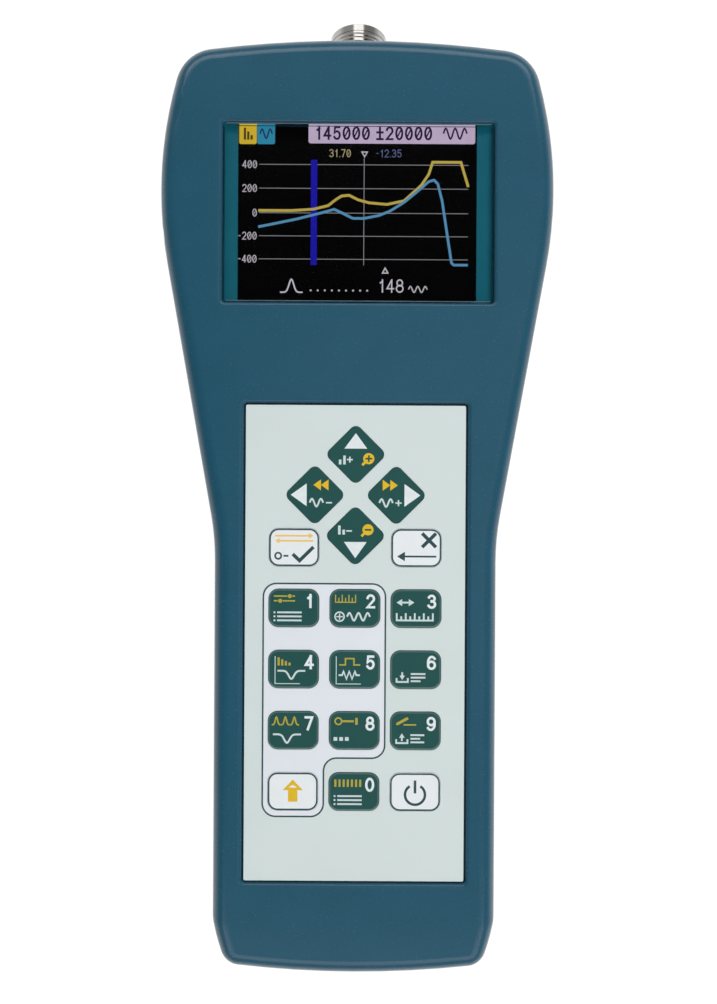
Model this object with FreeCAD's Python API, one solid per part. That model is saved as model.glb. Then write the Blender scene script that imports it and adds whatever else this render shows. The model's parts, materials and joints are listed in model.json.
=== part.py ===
import FreeCAD, Part
import math
import os
from FreeCAD import Vector

# A hand-held antenna analyzer lying on its back, in millimetres.
# X runs across, Y from the bottom end of the case towards the jack, Z from the back to the face.

# Case outline, seen from the face; Y is counted from the bottom end
case_length = 231.7
case_depth = 55.0
head_half_width = 49.0
head_widest_y = 194.4
head_side_radius = 103.5
top_end_radius = 291.0
top_corner_radius = 10.4
taper_angle = 10.2
grip_half_width = 35.1
grip_blend_radius = 65.0
heel_y = 13.1
heel_angle = 9.9
heel_radius = 51.6
heel_blend_radius = 9.8
bottom_end_radius = 259.0
bottom_corner_radius = 5.2

# Case walls and edges
case_wall = 3.0
front_edge_radius = 4.4
rear_edge_radius = 4.8
edge_margin = 0.2
parting_z = 38.0
seam = 0.3

# Case gasket, in the middle of the rear shell's rim
gasket_width = 1.1
gasket_depth = 1.0
gasket_clearance = 0.05

# Case screws, M3 countersunk, and their brass inserts
boss_radius = 4.2
case_boss_places = ((37.5, 218.3), (34.6, 150.7), (28.2, 22.7))
screw_radius = 1.45
screw_head_radius = 2.75
screw_head_recess = 0.4
screw_engagement = 5.0
screw_clearance = 0.05
drive_radius = 1.1
drive_depth = 0.8
insert_radius = 2.1
insert_length = 5.7

# Display window
window_width = 66.5
window_height = 43.95
window_y = 187.85
window_shift_x = 0.3
window_depth = 2.1
window_corner_radius = 0.5
window_aperture_width = 58.9
lens_gap = 0.2
lens_below_face = 0.2
tape_thickness = 0.15
opening_edge_radius = 1.1

# LCD module and its carrier
lcd_width = 66.6
lcd_height = 50.6
lcd_offset_y = 0.95
panel_thickness = 1.2
backlight_thickness = 2.2
carrier_thickness = 1.8
carrier_rim = 1.0
carrier_opening_width = 46.0
carrier_opening_height = 30.0
carrier_ear_radius = 3.4
lcd_post_x = 38.5
lcd_post_spacing = 22.0
post_radius = 2.6
post_screw_radius = 1.1
post_screw_head_radius = 2.1
post_screw_head_height = 1.4
post_screw_engagement = 3.0

# Keypad: overlay film, spacer and circuit, laid in a shallow pan in the face
overlay_width = 54.0
overlay_length = 116.8
overlay_y = 82.2
overlay_corner_radius = 0.4
overlay_thickness = 0.5
overlay_below_face = 0.7
pan_gap = 0.5
pan_corner_radius = 0.9
pan_edge_radius = 1.0
pan_floor = 2.0
pan_skirt = 1.5
circuit_thickness = 0.3
tail_width = 12.0
tail_y = 30.7
ribbon_thickness = 0.3
ribbon_slot_gap = 0.4

# Keys
key_pitch = 15.0
key_width = 12.35
key_height = 9.35
key_corner_radius = 2.4
key_row_y = 90.75
command_row_y = 105.65
arrow_centre_y = 118.55
arrow_spacing = 10.0
arrow_side = 10.65
arrow_corner_radius = 1.6
key_proud = 0.15
key_edge_radius = 0.12
key_gap = 0.1
key_flange = 0.5
key_flange_thickness = 0.4
key_running_gap = 0.03
key_travel = 0.4
key_bottom_gap = 0.12
flange_gap = 0.15
contact_radius = 2.5
contact_thickness = 0.05

# Main board, carried on posts of the front shell
board_thickness = 1.6
board_top_z = 36.0
board_start_y = 3.8
board_neck_half_width = 22.0
board_shoulder_y = 158.7
board_head_half_width = 40.4
board_end_y = 213.1
board_corner_radius = 2.0
head_board_posts = ((38.0, 208.7), (37.2, 161.9))
grip_board_posts = ((17.5, 38.7), (17.5, 126.7))
connector_length = 4.0
connector_height = 2.4
connector_margin = 2.0
lcd_ribbon_width = 30.0
lcd_ribbon_drop = 5.0
lcd_ribbon_radius = 2.5
beeper_radius = 6.0
beeper_height = 5.0
beeper_place = (-12.0, 146.7)
shield_width = 26.0
shield_length = 32.0
shield_height = 5.0
shield_wall = 0.4
shield_centre = (-22.0, 192.7)
chip_height = 1.4
top_chips = ((10.0, 188.7, 14.0, 14.0), (-14.0, 186.7, 10.0, 8.0), (0.0, 70.7, 9.0, 9.0))
bottom_chips = ((22.0, 190.7, 12.0, 10.0), (22.0, 172.7, 8.0, 6.0), (0.0, 120.7, 10.0, 7.0))
capacitor_radius = 3.0
capacitor_height = 7.0
capacitor_places = ((8.0, 100.7), (-8.0, 100.7), (0.0, 92.7))

# USB socket, type B, under the bottom end of the board
usb_width = 12.0
usb_height = 10.9
usb_length = 16.4
usb_wall = 0.5
usb_inset = 0.6
usb_cutout_gap = 0.2
usb_back = 6.0
usb_tongue_width = 5.6
usb_tongue_height = 3.2
usb_tongue_inset = 1.2
usb_mouth_width = 8.45
usb_mouth_inset = 1.0

# N jack on the top end
jack_z = 21.0
jack_reach = 19.1
jack_thread_radius = 7.94
jack_root_radius = 7.3
jack_rim_radius = 7.75
jack_rim_length = 1.5
jack_rim_chamfer = 0.4
jack_bore_radius = 4.3
jack_bore_chamfer = 0.5
jack_bore_depth = 9.1
jack_flange_radius = 10.5
jack_flange_thickness = 3.0
jack_barrel_radius = 5.5
jack_barrel_length = 10.8
jack_fit = 0.02
jack_hole_clearance = 0.1
jack_spot_face = 0.3
jack_spot_gap = 0.8
jack_pad_thickness = 0.5
washer_thickness = 0.8
washer_radius = 10.6
nut_across_flats = 19.05
nut_thickness = 3.2
nut_running_gap = 0.05
contact_pin_radius = 1.5
contact_pin_depth = 5.0
contact_hole_radius = 0.8
contact_hole_depth = 4.0
contact_slot_width = 0.3
coax_radius = 1.8
coax_run = 11.0
coax_bend_radius = 6.0

# Battery compartment, cells and door
cell_count = 3
cell_radius = 7.25
cell_length = 50.5
cell_nub_radius = 2.75
cell_nub_height = 1.0
cell_gap = 0.3
cell_clearance = 0.3
contact_room = 5.0
contact_plate_thickness = 0.4
contact_plate_width = 9.0
contact_plate_height = 8.0
spring_leaf_width = 5.0
tab_width = 3.0
tab_reach = 4.0
tab_slot_gap = 0.1
bridge_height = 3.0
compartment_y = 15.5
compartment_wall = 1.6
lead_radius = 0.7
lead_run = 3.6
lead_bend_radius = 3.0
door_recess = 0.3
door_skin = 1.2
door_tongue = 1.0
door_overlap = 0.9
door_tongue_reach = 1.1
door_gap = 0.15
door_end_overlap = 4.0
channel_roof = 1.2
grip_pocket_width = 20.0
grip_pocket_length = 13.0
grip_pocket_depth = 0.8
grip_pocket_y = 60.0
grip_rib_count = 5
grip_rib_width = 1.1

# Places that follow from the sizes above
face_inner_z = case_depth - case_wall
overall_length = case_length + jack_reach
overlay_top_z = case_depth - overlay_below_face
overlay_bottom_z = overlay_top_z - overlay_thickness
spacer_thickness = (key_running_gap + key_flange_thickness + key_travel + key_bottom_gap
                    + contact_thickness)
circuit_top_z = overlay_bottom_z - spacer_thickness
pan_floor_z = circuit_top_z - circuit_thickness
pan_under_z = pan_floor_z - pan_floor
pan_half_width = overlay_width / 2 + pan_gap
pan_half_length = overlay_length / 2 + pan_gap
lcd_y = window_y + lcd_offset_y
backlight_z = face_inner_z - panel_thickness - backlight_thickness
carrier_z = backlight_z - carrier_thickness
board_under_z = board_top_z - board_thickness
compartment_length = cell_length + contact_room
compartment_end_y = compartment_y + compartment_length
cell_pitch = 2 * cell_radius + cell_gap
compartment_half_width = cell_pitch * (cell_count - 1) / 2 + cell_radius + cell_clearance
door_top_z = door_recess + door_skin + door_tongue
channel_top_z = door_top_z + door_gap
cell_z = door_top_z + cell_clearance + cell_radius
compartment_top_z = cell_z + cell_radius + cell_clearance
door_half_width = compartment_half_width + door_overlap
door_end_y = compartment_end_y + compartment_wall + door_end_overlap
jack_seat_y = case_length - jack_spot_face
jack_inner_y = case_length - case_wall - jack_pad_thickness
nut_start_y = jack_seat_y + washer_thickness
nut_end_y = nut_start_y + nut_thickness
jack_tip_y = case_length + jack_reach
jack_barrel_y = jack_inner_y - jack_flange_thickness - jack_barrel_length


def box(x, y, z):
    """A block between the two values given for each axis."""
    return Part.makeBox(x[1] - x[0], y[1] - y[0], z[1] - z[0], Vector(x[0], y[0], z[0]))


def rounded_box(centre, width, length, radius, z):
    """An upright block with rounded corners, centred on a point of the plan."""
    block = box((centre[0] - width / 2, centre[0] + width / 2),
                (centre[1] - length / 2, centre[1] + length / 2), z)
    return block.makeFillet(radius, upright_edges(block))


def upright_edges(shape):
    """The straight edges of a shape that run along Z."""
    found = []
    for edge in shape.Edges:
        bounds = edge.BoundBox
        if bounds.XLength < 1e-4 and bounds.YLength < 1e-4:
            found.append(edge)
    return found


def edges_at(shape, z):
    """The edges of a shape that lie in one horizontal plane."""
    return [edge for edge in shape.Edges
            if abs(edge.BoundBox.ZMin - z) < 1e-4 and abs(edge.BoundBox.ZMax - z) < 1e-4]


def post(radius, place, z):
    """An upright cylinder between two heights."""
    return Part.makeCylinder(radius, z[1] - z[0], Vector(place[0], place[1], z[0]))


def rod(radius, y, place=(0, jack_z)):
    """A cylinder along Y, at a place given as X and Z."""
    return Part.makeCylinder(radius, y[1] - y[0], Vector(place[0], y[0], place[1]), Vector(0, 1, 0))


def mirrored(shape):
    """The same shape on the other side of the case."""
    return shape.mirror(Vector(0, 0, 0), Vector(1, 0, 0))


def both_sides(places):
    """Each place of the plan and its mirror image across the centre line."""
    return [(side * x, y) for x, y in places for side in (-1, 1)]


def turned(shape, angle, centre):
    """A shape turned about an upright axis."""
    copy = shape.copy()
    copy.rotate(Vector(centre[0], centre[1], 0), Vector(0, 0, 1), angle)
    return copy


def polar(centre, radius, angle):
    """The point at an angle on a circle, in degrees from +X."""
    turn = math.radians(angle)
    return Vector(centre.x + radius * math.cos(turn), centre.y + radius * math.sin(turn), 0)


def crossing(centre_a, radius_a, centre_b, radius_b):
    """Where two circles cross, at the crossing with the larger X."""
    apart = centre_b - centre_a
    distance = apart.Length
    along = (distance ** 2 + radius_a ** 2 - radius_b ** 2) / (2 * distance)
    aside = math.sqrt(radius_a ** 2 - along ** 2)
    direction = apart / distance
    across = Vector(-direction.y, direction.x, 0)
    foot = centre_a + direction * along
    return max(foot + across * aside, foot - across * aside, key=lambda point: point.x)


def bearing(centre, point):
    """The direction of a point seen from a centre, in degrees from +X."""
    return math.degrees(math.atan2(point.y - centre.y, point.x - centre.x))


def arc(centre, radius, start, end):
    """The arc between two directions seen from its centre, in degrees."""
    return Part.Arc(polar(centre, radius, start), polar(centre, radius, (start + end) / 2),
                    polar(centre, radius, end)).toShape()


def outline_arcs():
    """The arcs of the outline's right-hand half, from the bottom end to the top end.

    Each is a centre, a radius, the directions it starts and ends at, and +1 where it bulges
    outwards or -1 where it bulges inwards. Straight runs join the ones that don't meet.
    """
    bottom = Vector(0, bottom_end_radius, 0)
    top = Vector(0, case_length - top_end_radius, 0)
    side = Vector(head_half_width - head_side_radius, head_widest_y, 0)
    heel = polar(Vector(grip_half_width, heel_y, 0), heel_radius, 180 - heel_angle)
    foot_corner = crossing(bottom, bottom_end_radius - bottom_corner_radius,
                           heel, heel_radius - bottom_corner_radius)
    top_corner = crossing(top, top_end_radius - top_corner_radius,
                          side, head_side_radius - top_corner_radius)
    blend_x = grip_half_width - heel_blend_radius
    reach = heel_radius - heel_blend_radius
    blend = Vector(blend_x, heel.y - math.sqrt(reach ** 2 - (blend_x - heel.x) ** 2), 0)
    shoulder = polar(side, head_side_radius, -taper_angle)
    taper = math.radians(taper_angle)
    waist_y = shoulder.y - (shoulder.x - grip_half_width) / math.tan(taper)
    waist = Vector(grip_half_width + grip_blend_radius,
                   waist_y - grip_blend_radius * math.tan(taper / 2), 0)
    return (
        (bottom, bottom_end_radius, -90, bearing(bottom, foot_corner), 1),
        (foot_corner, bottom_corner_radius, bearing(bottom, foot_corner),
         bearing(heel, foot_corner), 1),
        (heel, heel_radius, bearing(heel, foot_corner), bearing(heel, blend), 1),
        (blend, heel_blend_radius, bearing(heel, blend), 0, 1),
        (waist, grip_blend_radius, 180, 180 - taper_angle, -1),
        (side, head_side_radius, -taper_angle, bearing(side, top_corner), 1),
        (top_corner, top_corner_radius, bearing(side, top_corner), bearing(top, top_corner), 1),
        (top, top_end_radius, bearing(top, top_corner), 90, 1),
    )


def case_wire(inset):
    """The outline of the case in plan, moved inward all round by inset."""
    edges = []
    for centre, radius, start, end, bulge in outline_arcs():
        edge = arc(centre, radius - bulge * inset, start, end)
        if edges:
            gap_start = edges[-1].valueAt(edges[-1].LastParameter)
            gap_end = edge.valueAt(edge.FirstParameter)
            if gap_start.distanceToPoint(gap_end) > 1e-4:
                edges.append(Part.makeLine(gap_start, gap_end))
        edges.append(edge)
    edges += [mirrored(edge) for edge in edges]
    return Part.Wire(Part.__sortEdges__(edges))


def case_block(inset, z):
    """A block with the case's outline, moved inward all round by inset."""
    block = Part.Face(case_wire(inset)).extrude(Vector(0, 0, z[1] - z[0]))
    block.translate(Vector(0, 0, z[0]))
    return block.removeSplitter()


def case_outside():
    """The whole case as one solid block with its rounded edges."""
    block = case_block(0, (0, case_depth))
    largest = bottom_corner_radius - edge_margin
    block = block.makeFillet(min(front_edge_radius, largest), edges_at(block, case_depth))
    return block.makeFillet(min(rear_edge_radius, largest), edges_at(block, 0))


CASE_OUTSIDE = case_outside()
CASE_HOLLOW = CASE_OUTSIDE.cut(case_block(case_wall, (case_wall, face_inner_z)))
WIDE = (-case_length, case_length)


def window_block(z, inset=0):
    """The window's outline as a block, less an inset all round."""
    return rounded_box((window_shift_x, window_y), window_width - 2 * inset,
                       window_height - 2 * inset, window_corner_radius, z)


def pan_block(z, margin=0):
    """The keypad pan's outline as a block, with a margin all round."""
    return rounded_box((0, overlay_y), 2 * (pan_half_width + margin),
                       2 * (pan_half_length + margin), pan_corner_radius, z)


def front_shell():
    """The face of the case, with its window, keypad pan, screw bosses and posts."""
    shell = CASE_HOLLOW.common(box(WIDE, WIDE, (parting_z, case_depth + 1)))
    shell = shell.fuse(pan_block((pan_under_z, face_inner_z), pan_skirt))
    for place in both_sides(case_boss_places):
        shell = shell.fuse(post(boss_radius, place, (parting_z, face_inner_z)))
    for place in both_sides(lcd_post_places()):
        shell = shell.fuse(post(post_radius, place, (backlight_z, face_inner_z)))
    for place in both_sides(head_board_posts):
        shell = shell.fuse(post(post_radius, place, (board_top_z, face_inner_z)))
    for place in both_sides(grip_board_posts):
        shell = shell.fuse(post(post_radius, place, (board_top_z, pan_under_z)))
    shell = shell.removeSplitter()

    window = window_block((case_depth - window_depth, case_depth + 1))
    aperture = box((-window_aperture_width / 2, window_aperture_width / 2),
                   (window_y - window_height / 2, window_y + window_height / 2),
                   (face_inner_z - 1, case_depth))
    pan = pan_block((pan_floor_z, case_depth + 1))
    shell = shell.cut(window).cut(pan)
    shell = round_opening(shell, window, opening_edge_radius)
    shell = round_opening(shell, pan, pan_edge_radius)
    shell = shell.cut(aperture)
    shell = shell.cut(box((-tail_width / 2 - ribbon_slot_gap, tail_width / 2 + ribbon_slot_gap),
                          (tail_y - ribbon_thickness / 2 - ribbon_slot_gap,
                           tail_y + ribbon_thickness / 2 + ribbon_slot_gap),
                          (pan_under_z - 1, case_depth)))
    for place in both_sides(case_boss_places):
        shell = shell.cut(post(insert_radius, place, (parting_z - 1, parting_z + insert_length)))
    pilot = post_screw_radius + screw_clearance
    for place in both_sides(lcd_post_places()):
        shell = shell.cut(post(pilot, place,
                               (backlight_z - 1, backlight_z + post_screw_engagement)))
    for place in both_sides(head_board_posts + grip_board_posts):
        shell = shell.cut(post(pilot, place,
                               (board_top_z - 1, board_top_z + post_screw_engagement)))
    return shell


def round_opening(shell, tool, radius):
    """Rounds the edge where an opening meets the face."""
    bounds = tool.BoundBox
    rim = []
    for edge in edges_at(shell, case_depth):
        middle = edge.BoundBox.Center
        inside_x = bounds.XMin - 1e-3 < middle.x < bounds.XMax + 1e-3
        inside_y = bounds.YMin - 1e-3 < middle.y < bounds.YMax + 1e-3
        if inside_x and inside_y:
            rim.append(edge)
    return shell.makeFillet(radius, rim)


def lcd_post_places():
    """The places of the LCD carrier's posts, on the right-hand side."""
    return ((lcd_post_x, lcd_y - lcd_post_spacing / 2), (lcd_post_x, lcd_y + lcd_post_spacing / 2))


def rear_shell():
    """The back of the case, with the battery compartment, jack wall and USB cut-out."""
    rim_z = parting_z - seam
    shell = CASE_HOLLOW.common(box(WIDE, WIDE, (-1, rim_z)))
    outer_half = compartment_half_width + compartment_wall
    channel_half = door_half_width + door_tongue_reach + door_gap
    shell = shell.fuse(box((-outer_half, outer_half),
                           (compartment_y - compartment_wall,
                            compartment_end_y + compartment_wall),
                           (case_wall, compartment_top_z + compartment_wall)))
    shell = shell.fuse(box((-channel_half - compartment_wall, channel_half + compartment_wall),
                           (case_wall / 2, door_end_y + door_gap + compartment_wall),
                           (case_wall, channel_top_z + channel_roof)))
    for place in both_sides(case_boss_places):
        column = post(boss_radius, place, (case_wall, parting_z))
        shell = shell.fuse(column)
    shell = shell.fuse(rod(jack_flange_radius + 1, (jack_inner_y, case_length - case_wall / 2)))
    shell = shell.removeSplitter()

    shell = shell.cut(box((-compartment_half_width, compartment_half_width),
                          (compartment_y, compartment_end_y), (-1, compartment_top_z)))
    shell = shell.cut(door_channel())
    shell = shell.cut(rod(jack_thread_radius + jack_hole_clearance,
                          (jack_inner_y - 1, case_length + 1)))
    shell = shell.cut(rod(washer_radius + jack_spot_gap, (jack_seat_y, case_length + 1)))
    groove = case_wall / 2 - gasket_width / 2 - gasket_clearance
    shell = shell.cut(gasket_ring(groove, (rim_z - gasket_depth, parting_z)))
    usb = usb_bounds()
    shell = shell.cut(box((usb[0][0] - usb_cutout_gap, usb[0][1] + usb_cutout_gap),
                          (-1, case_wall + usb_cutout_gap),
                          (usb[1][0] - usb_cutout_gap, usb[1][1] + usb_cutout_gap)))
    for place in both_sides(case_boss_places):
        shell = shell.cut(screw_blank(place, screw_clearance))
    for x, way in (positive_end(), negative_end()):
        shell = shell.cut(contact_tab(x, way, tab_slot_gap))
    return shell


def gasket_ring(inset, z):
    """A ring that follows the case's rim, as far inside it as outside the inner wall."""
    return case_block(inset, z).cut(case_block(case_wall - inset, z))


def case_gasket():
    """The rubber cord between the two shells."""
    return gasket_ring((case_wall - gasket_width) / 2, (parting_z - seam - gasket_depth, parting_z))


def screw_blank(place, clearance=0):
    """A countersunk case screw without its recess, or the hole for one."""
    radius = screw_radius + clearance
    head = screw_head_radius + clearance
    top = parting_z + screw_engagement
    start = screw_head_recess
    if clearance:
        start = -1
    shape = post(radius, place, (start, top))
    cone = Part.makeCone(head, radius, head - radius, Vector(place[0], place[1], screw_head_recess))
    shape = shape.fuse(cone)
    if clearance:
        shape = shape.fuse(post(head, place, (start, screw_head_recess)))
    return shape


def cross_recess(place, z, direction):
    """The cross in a screw's head, cut from z in a direction along Z."""
    low, high = sorted((z - direction, z + direction * drive_depth))
    arm = box((place[0] - drive_radius, place[0] + drive_radius),
              (place[1] - drive_radius / 4, place[1] + drive_radius / 4), (low, high))
    return arm.fuse(turned(arm, 90, place))


def case_screws():
    """The six case screws, put in from the back."""
    return [screw_blank(place).cut(cross_recess(place, screw_head_recess, 1))
            for place in both_sides(case_boss_places)]


def case_inserts():
    """The threaded brass inserts in the front shell's bosses."""
    z = (parting_z, parting_z + insert_length)
    return [post(insert_radius, place, z).cut(post(screw_radius + screw_clearance, place,
                                                   (z[0] - 1, z[1] + 1)))
            for place in both_sides(case_boss_places)]


def display_lens():
    """The clear lens over the display."""
    top = case_depth - lens_below_face
    return window_block((case_depth - window_depth + tape_thickness, top), lens_gap)


def lens_tape():
    """The adhesive strips that hold the lens on its two ledges."""
    z = (case_depth - window_depth, case_depth - window_depth + tape_thickness)
    sheet = window_block(z, lens_gap)
    half = window_aperture_width / 2
    clear = box((-half, half), WIDE, (z[0] - 1, z[1] + 1))
    return sheet.cut(clear).Solids


def lcd_panel():
    """The glass of the LCD, against the inside of the face."""
    return rounded_box((0, lcd_y), lcd_width, lcd_height, board_corner_radius / 4,
                       (face_inner_z - panel_thickness, face_inner_z))


def lcd_backlight():
    """The backlight under the LCD glass."""
    return rounded_box((0, lcd_y), lcd_width, lcd_height, board_corner_radius / 2,
                       (backlight_z, face_inner_z - panel_thickness))


def lcd_carrier():
    """The frame that holds the LCD up against the face."""
    z = (carrier_z, backlight_z)
    frame = rounded_box((0, lcd_y), lcd_width + 2 * carrier_rim, lcd_height, board_corner_radius, z)
    for y in sorted({place[1] for place in lcd_post_places()}):
        for side in (-1, 1):
            frame = frame.fuse(post(carrier_ear_radius, (side * lcd_post_x, y), z))
        frame = frame.fuse(box((-lcd_post_x, lcd_post_x),
                               (y - carrier_ear_radius, y + carrier_ear_radius), z))
    frame = frame.cut(rounded_box((0, lcd_y), carrier_opening_width, carrier_opening_height,
                                  board_corner_radius, (z[0] - 1, z[1] + 1)))
    for place in both_sides(lcd_post_places()):
        frame = frame.cut(post(post_screw_radius + screw_clearance, place, (z[0] - 1, z[1] + 1)))
    return frame.removeSplitter()


def post_screw(place, seat_z, grip):
    """A pan-head screw that goes up through a grip of material into a post."""
    shank = post(post_screw_radius, place, (seat_z, seat_z + grip + post_screw_engagement
                                            - 2 * screw_clearance))
    head = post(post_screw_head_radius, place, (seat_z - post_screw_head_height, seat_z))
    head = head.makeFillet(post_screw_head_height / 3,
                           edges_at(head, seat_z - post_screw_head_height))
    return shank.fuse(head).cut(cross_recess(place, seat_z - post_screw_head_height, 1))


def lcd_screws():
    """The screws of the LCD carrier."""
    return [post_screw(place, carrier_z, carrier_thickness)
            for place in both_sides(lcd_post_places())]


def board_screws():
    """The screws of the main board."""
    return [post_screw(place, board_under_z, board_thickness)
            for place in both_sides(head_board_posts + grip_board_posts)]


def bent_path(points, radius):
    """Straight runs through the points, joined by tangent arcs."""
    edges = []
    start = points[0]
    for before, corner, after in zip(points, points[1:], points[2:]):
        into = (corner - before).normalize()
        out = (after - corner).normalize()
        turn = into.getAngle(out)
        reach = radius * math.tan(turn / 2)
        first = corner - into * reach
        last = corner + out * reach
        bisector = (out - into).normalize()
        middle = corner + bisector * (radius / math.cos(turn / 2) - radius)
        edges.append(Part.makeLine(start, first))
        edges.append(Part.Arc(first, middle, last).toShape())
        start = last
    edges.append(Part.makeLine(start, points[-1]))
    return Part.Wire(edges)


def tube(points, radius, bend_radius):
    """A round wire or cable along a bent path."""
    path = bent_path(points, bend_radius)
    direction = points[1] - points[0]
    profile = Part.Wire(Part.makeCircle(radius, points[0], direction))
    return path.makePipeShell([profile], True, False)


def flat_strip(points, thickness, bend_radius, x):
    """A flat ribbon between two values of X, whose middle follows a path in a plane across X."""
    path = bent_path(points, bend_radius)
    run = (points[1] - points[0]).normalize()
    aside = Vector(0, -run.z, run.y) * (thickness / 2)
    across = Vector(x[1] - x[0], 0, 0)
    corner = Vector(x[0], points[0].y, points[0].z)
    profile = Part.makePolygon([corner + aside, corner + aside + across, corner - aside + across,
                                corner - aside, corner + aside])
    return path.makePipeShell([profile], True, False)


def lcd_ribbon():
    """The ribbon from the lower edge of the LCD glass down to the board."""
    z = face_inner_z - panel_thickness / 2
    edge_y = lcd_y - lcd_height / 2
    drop_y = edge_y - lcd_ribbon_drop
    points = [Vector(0, edge_y, z), Vector(0, drop_y, z),
              Vector(0, drop_y, board_top_z + connector_height)]
    return flat_strip(points, ribbon_thickness, lcd_ribbon_radius,
                      (-lcd_ribbon_width / 2, lcd_ribbon_width / 2))


def arrow_places():
    """Name and place of the four arrow keys."""
    return {
        "key_up": (0, arrow_centre_y + arrow_spacing),
        "key_down": (0, arrow_centre_y - arrow_spacing),
        "key_left": (-arrow_spacing, arrow_centre_y),
        "key_right": (arrow_spacing, arrow_centre_y),
    }


def oblong_places():
    """Name and place of the fourteen keys in rows."""
    places = {"key_ok": (-key_pitch, command_row_y), "key_cancel": (key_pitch, command_row_y)}
    rows = (("1", "2", "3"), ("4", "5", "6"), ("7", "8", "9"), ("function", "0", "power"))
    for row, names in enumerate(rows):
        for column, name in enumerate(names):
            places["key_" + name] = ((column - 1) * key_pitch, key_row_y - row * key_pitch)
    return places


def arrow_block(place, margin, z):
    """The outline of an arrow key as a block, with a margin all round."""
    side = arrow_side + 2 * margin
    block = rounded_box(place, side, side, arrow_corner_radius + margin, z)
    return turned(block, 45, place)


def oblong_block(place, margin, z):
    """The outline of a key in the rows as a block, with a margin all round."""
    return rounded_box(place, key_width + 2 * margin, key_height + 2 * margin,
                       key_corner_radius + margin, z)


def key_blocks(margin, z):
    """The outlines of all eighteen keys, by name."""
    blocks = {name: arrow_block(place, margin, z) for name, place in arrow_places().items()}
    for name, place in oblong_places().items():
        blocks[name] = oblong_block(place, margin, z)
    return blocks


def keys():
    """The eighteen keys: a cap that shows and a flange that keeps it under the overlay."""
    flange_top = overlay_bottom_z - key_running_gap
    top = overlay_top_z + key_proud
    caps = key_blocks(0, (flange_top - key_flange_thickness, top))
    flanges = key_blocks(key_flange, (flange_top - key_flange_thickness, flange_top))
    made = {}
    for name, cap in caps.items():
        cap = cap.makeFillet(key_edge_radius, edges_at(cap, top))
        made[name] = cap.fuse(flanges[name]).removeSplitter()
    return made


def overlay_sheet(z):
    """A sheet with the overlay's outline."""
    return rounded_box((0, overlay_y), overlay_width, overlay_length, overlay_corner_radius, z)


def keypad_overlay():
    """The film on top of the keypad, with a hole for each key."""
    sheet = overlay_sheet((overlay_bottom_z, overlay_top_z))
    for hole in key_blocks(key_gap, (overlay_bottom_z - 1, overlay_top_z + 1)).values():
        sheet = sheet.cut(hole)
    return sheet


def keypad_spacer():
    """The layer under the overlay, with room for each key's flange."""
    sheet = overlay_sheet((circuit_top_z, overlay_bottom_z))
    margin = key_flange + flange_gap
    for hole in key_blocks(margin, (circuit_top_z - 1, overlay_bottom_z + 1)).values():
        sheet = sheet.cut(hole)
    return sheet


def keypad_circuit():
    """The printed circuit sheet on the pan's floor, with a contact under each key."""
    sheet = overlay_sheet((pan_floor_z, circuit_top_z))
    for x, y in list(arrow_places().values()) + list(oblong_places().values()):
        sheet = sheet.fuse(post(contact_radius, (x, y),
                                (pan_floor_z, circuit_top_z + contact_thickness)))
    return sheet


def keypad_tail():
    """The ribbon from the keypad circuit down to the board."""
    return box((-tail_width / 2, tail_width / 2),
               (tail_y - ribbon_thickness / 2, tail_y + ribbon_thickness / 2),
               (board_top_z + connector_height, pan_floor_z))


def main_board():
    """The circuit board: a wide part in the head and a long neck down the handle."""
    z = (board_under_z, board_top_z)
    neck_length = board_shoulder_y - board_start_y + board_corner_radius * 2
    neck = rounded_box((0, board_start_y + neck_length / 2), 2 * board_neck_half_width,
                       neck_length, board_corner_radius, z)
    head_length = board_end_y - board_shoulder_y
    head = rounded_box((0, board_shoulder_y + head_length / 2), 2 * board_head_half_width,
                       head_length, board_corner_radius, z)
    board = neck.fuse(head)
    for place in both_sides(head_board_posts + grip_board_posts):
        board = board.cut(post(post_screw_radius + screw_clearance, place, (z[0] - 1, z[1] + 1)))
    return board.removeSplitter()


def ribbon_connectors():
    """The sockets on the board that take the two ribbons."""
    z = (board_top_z, board_top_z + connector_height)
    lcd_drop_y = lcd_y - lcd_height / 2 - lcd_ribbon_drop
    made = []
    for width, y in ((tail_width, tail_y), (lcd_ribbon_width, lcd_drop_y)):
        half = width / 2 + connector_margin
        block = box((-half, half), (y - connector_length / 2, y + connector_length / 2), z)
        made.append(block.makeFillet(connector_height / 8, upright_edges(block)))
    return made


def board_chips():
    """The larger chips on both sides of the board."""
    made = []
    for x, y, width, length in top_chips:
        made.append(rounded_box((x, y), width, length, chip_height / 4,
                                (board_top_z, board_top_z + chip_height)))
    for x, y, width, length in bottom_chips:
        made.append(rounded_box((x, y), width, length, chip_height / 4,
                                (board_under_z - chip_height, board_under_z)))
    return made


def board_capacitors():
    """The round capacitors of the power supply, on top of the board."""
    made = []
    for place in capacitor_places:
        can = post(capacitor_radius, place, (board_top_z, board_top_z + capacitor_height))
        made.append(can.makeFillet(capacitor_radius / 6,
                                   edges_at(can, board_top_z + capacitor_height)))
    return made


def beeper():
    """The round beeper on top of the board."""
    can = post(beeper_radius, beeper_place, (board_top_z, board_top_z + beeper_height))
    hole = post(beeper_radius / 6, beeper_place,
                (board_top_z + beeper_height / 2, board_top_z + beeper_height + 1))
    return can.cut(hole)


def shield_can():
    """The metal can over the measuring circuit, under the board."""
    z = (board_under_z - shield_height, board_under_z)
    can = rounded_box(shield_centre, shield_width, shield_length, chip_height, z)
    inner = rounded_box(shield_centre, shield_width - 2 * shield_wall,
                        shield_length - 2 * shield_wall, chip_height - shield_wall,
                        (z[0] + shield_wall, z[1] + 1))
    return can.cut(inner)


def usb_bounds():
    """The USB socket's limits across and in height."""
    return ((-usb_width / 2, usb_width / 2), (board_under_z - usb_height, board_under_z))


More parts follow.
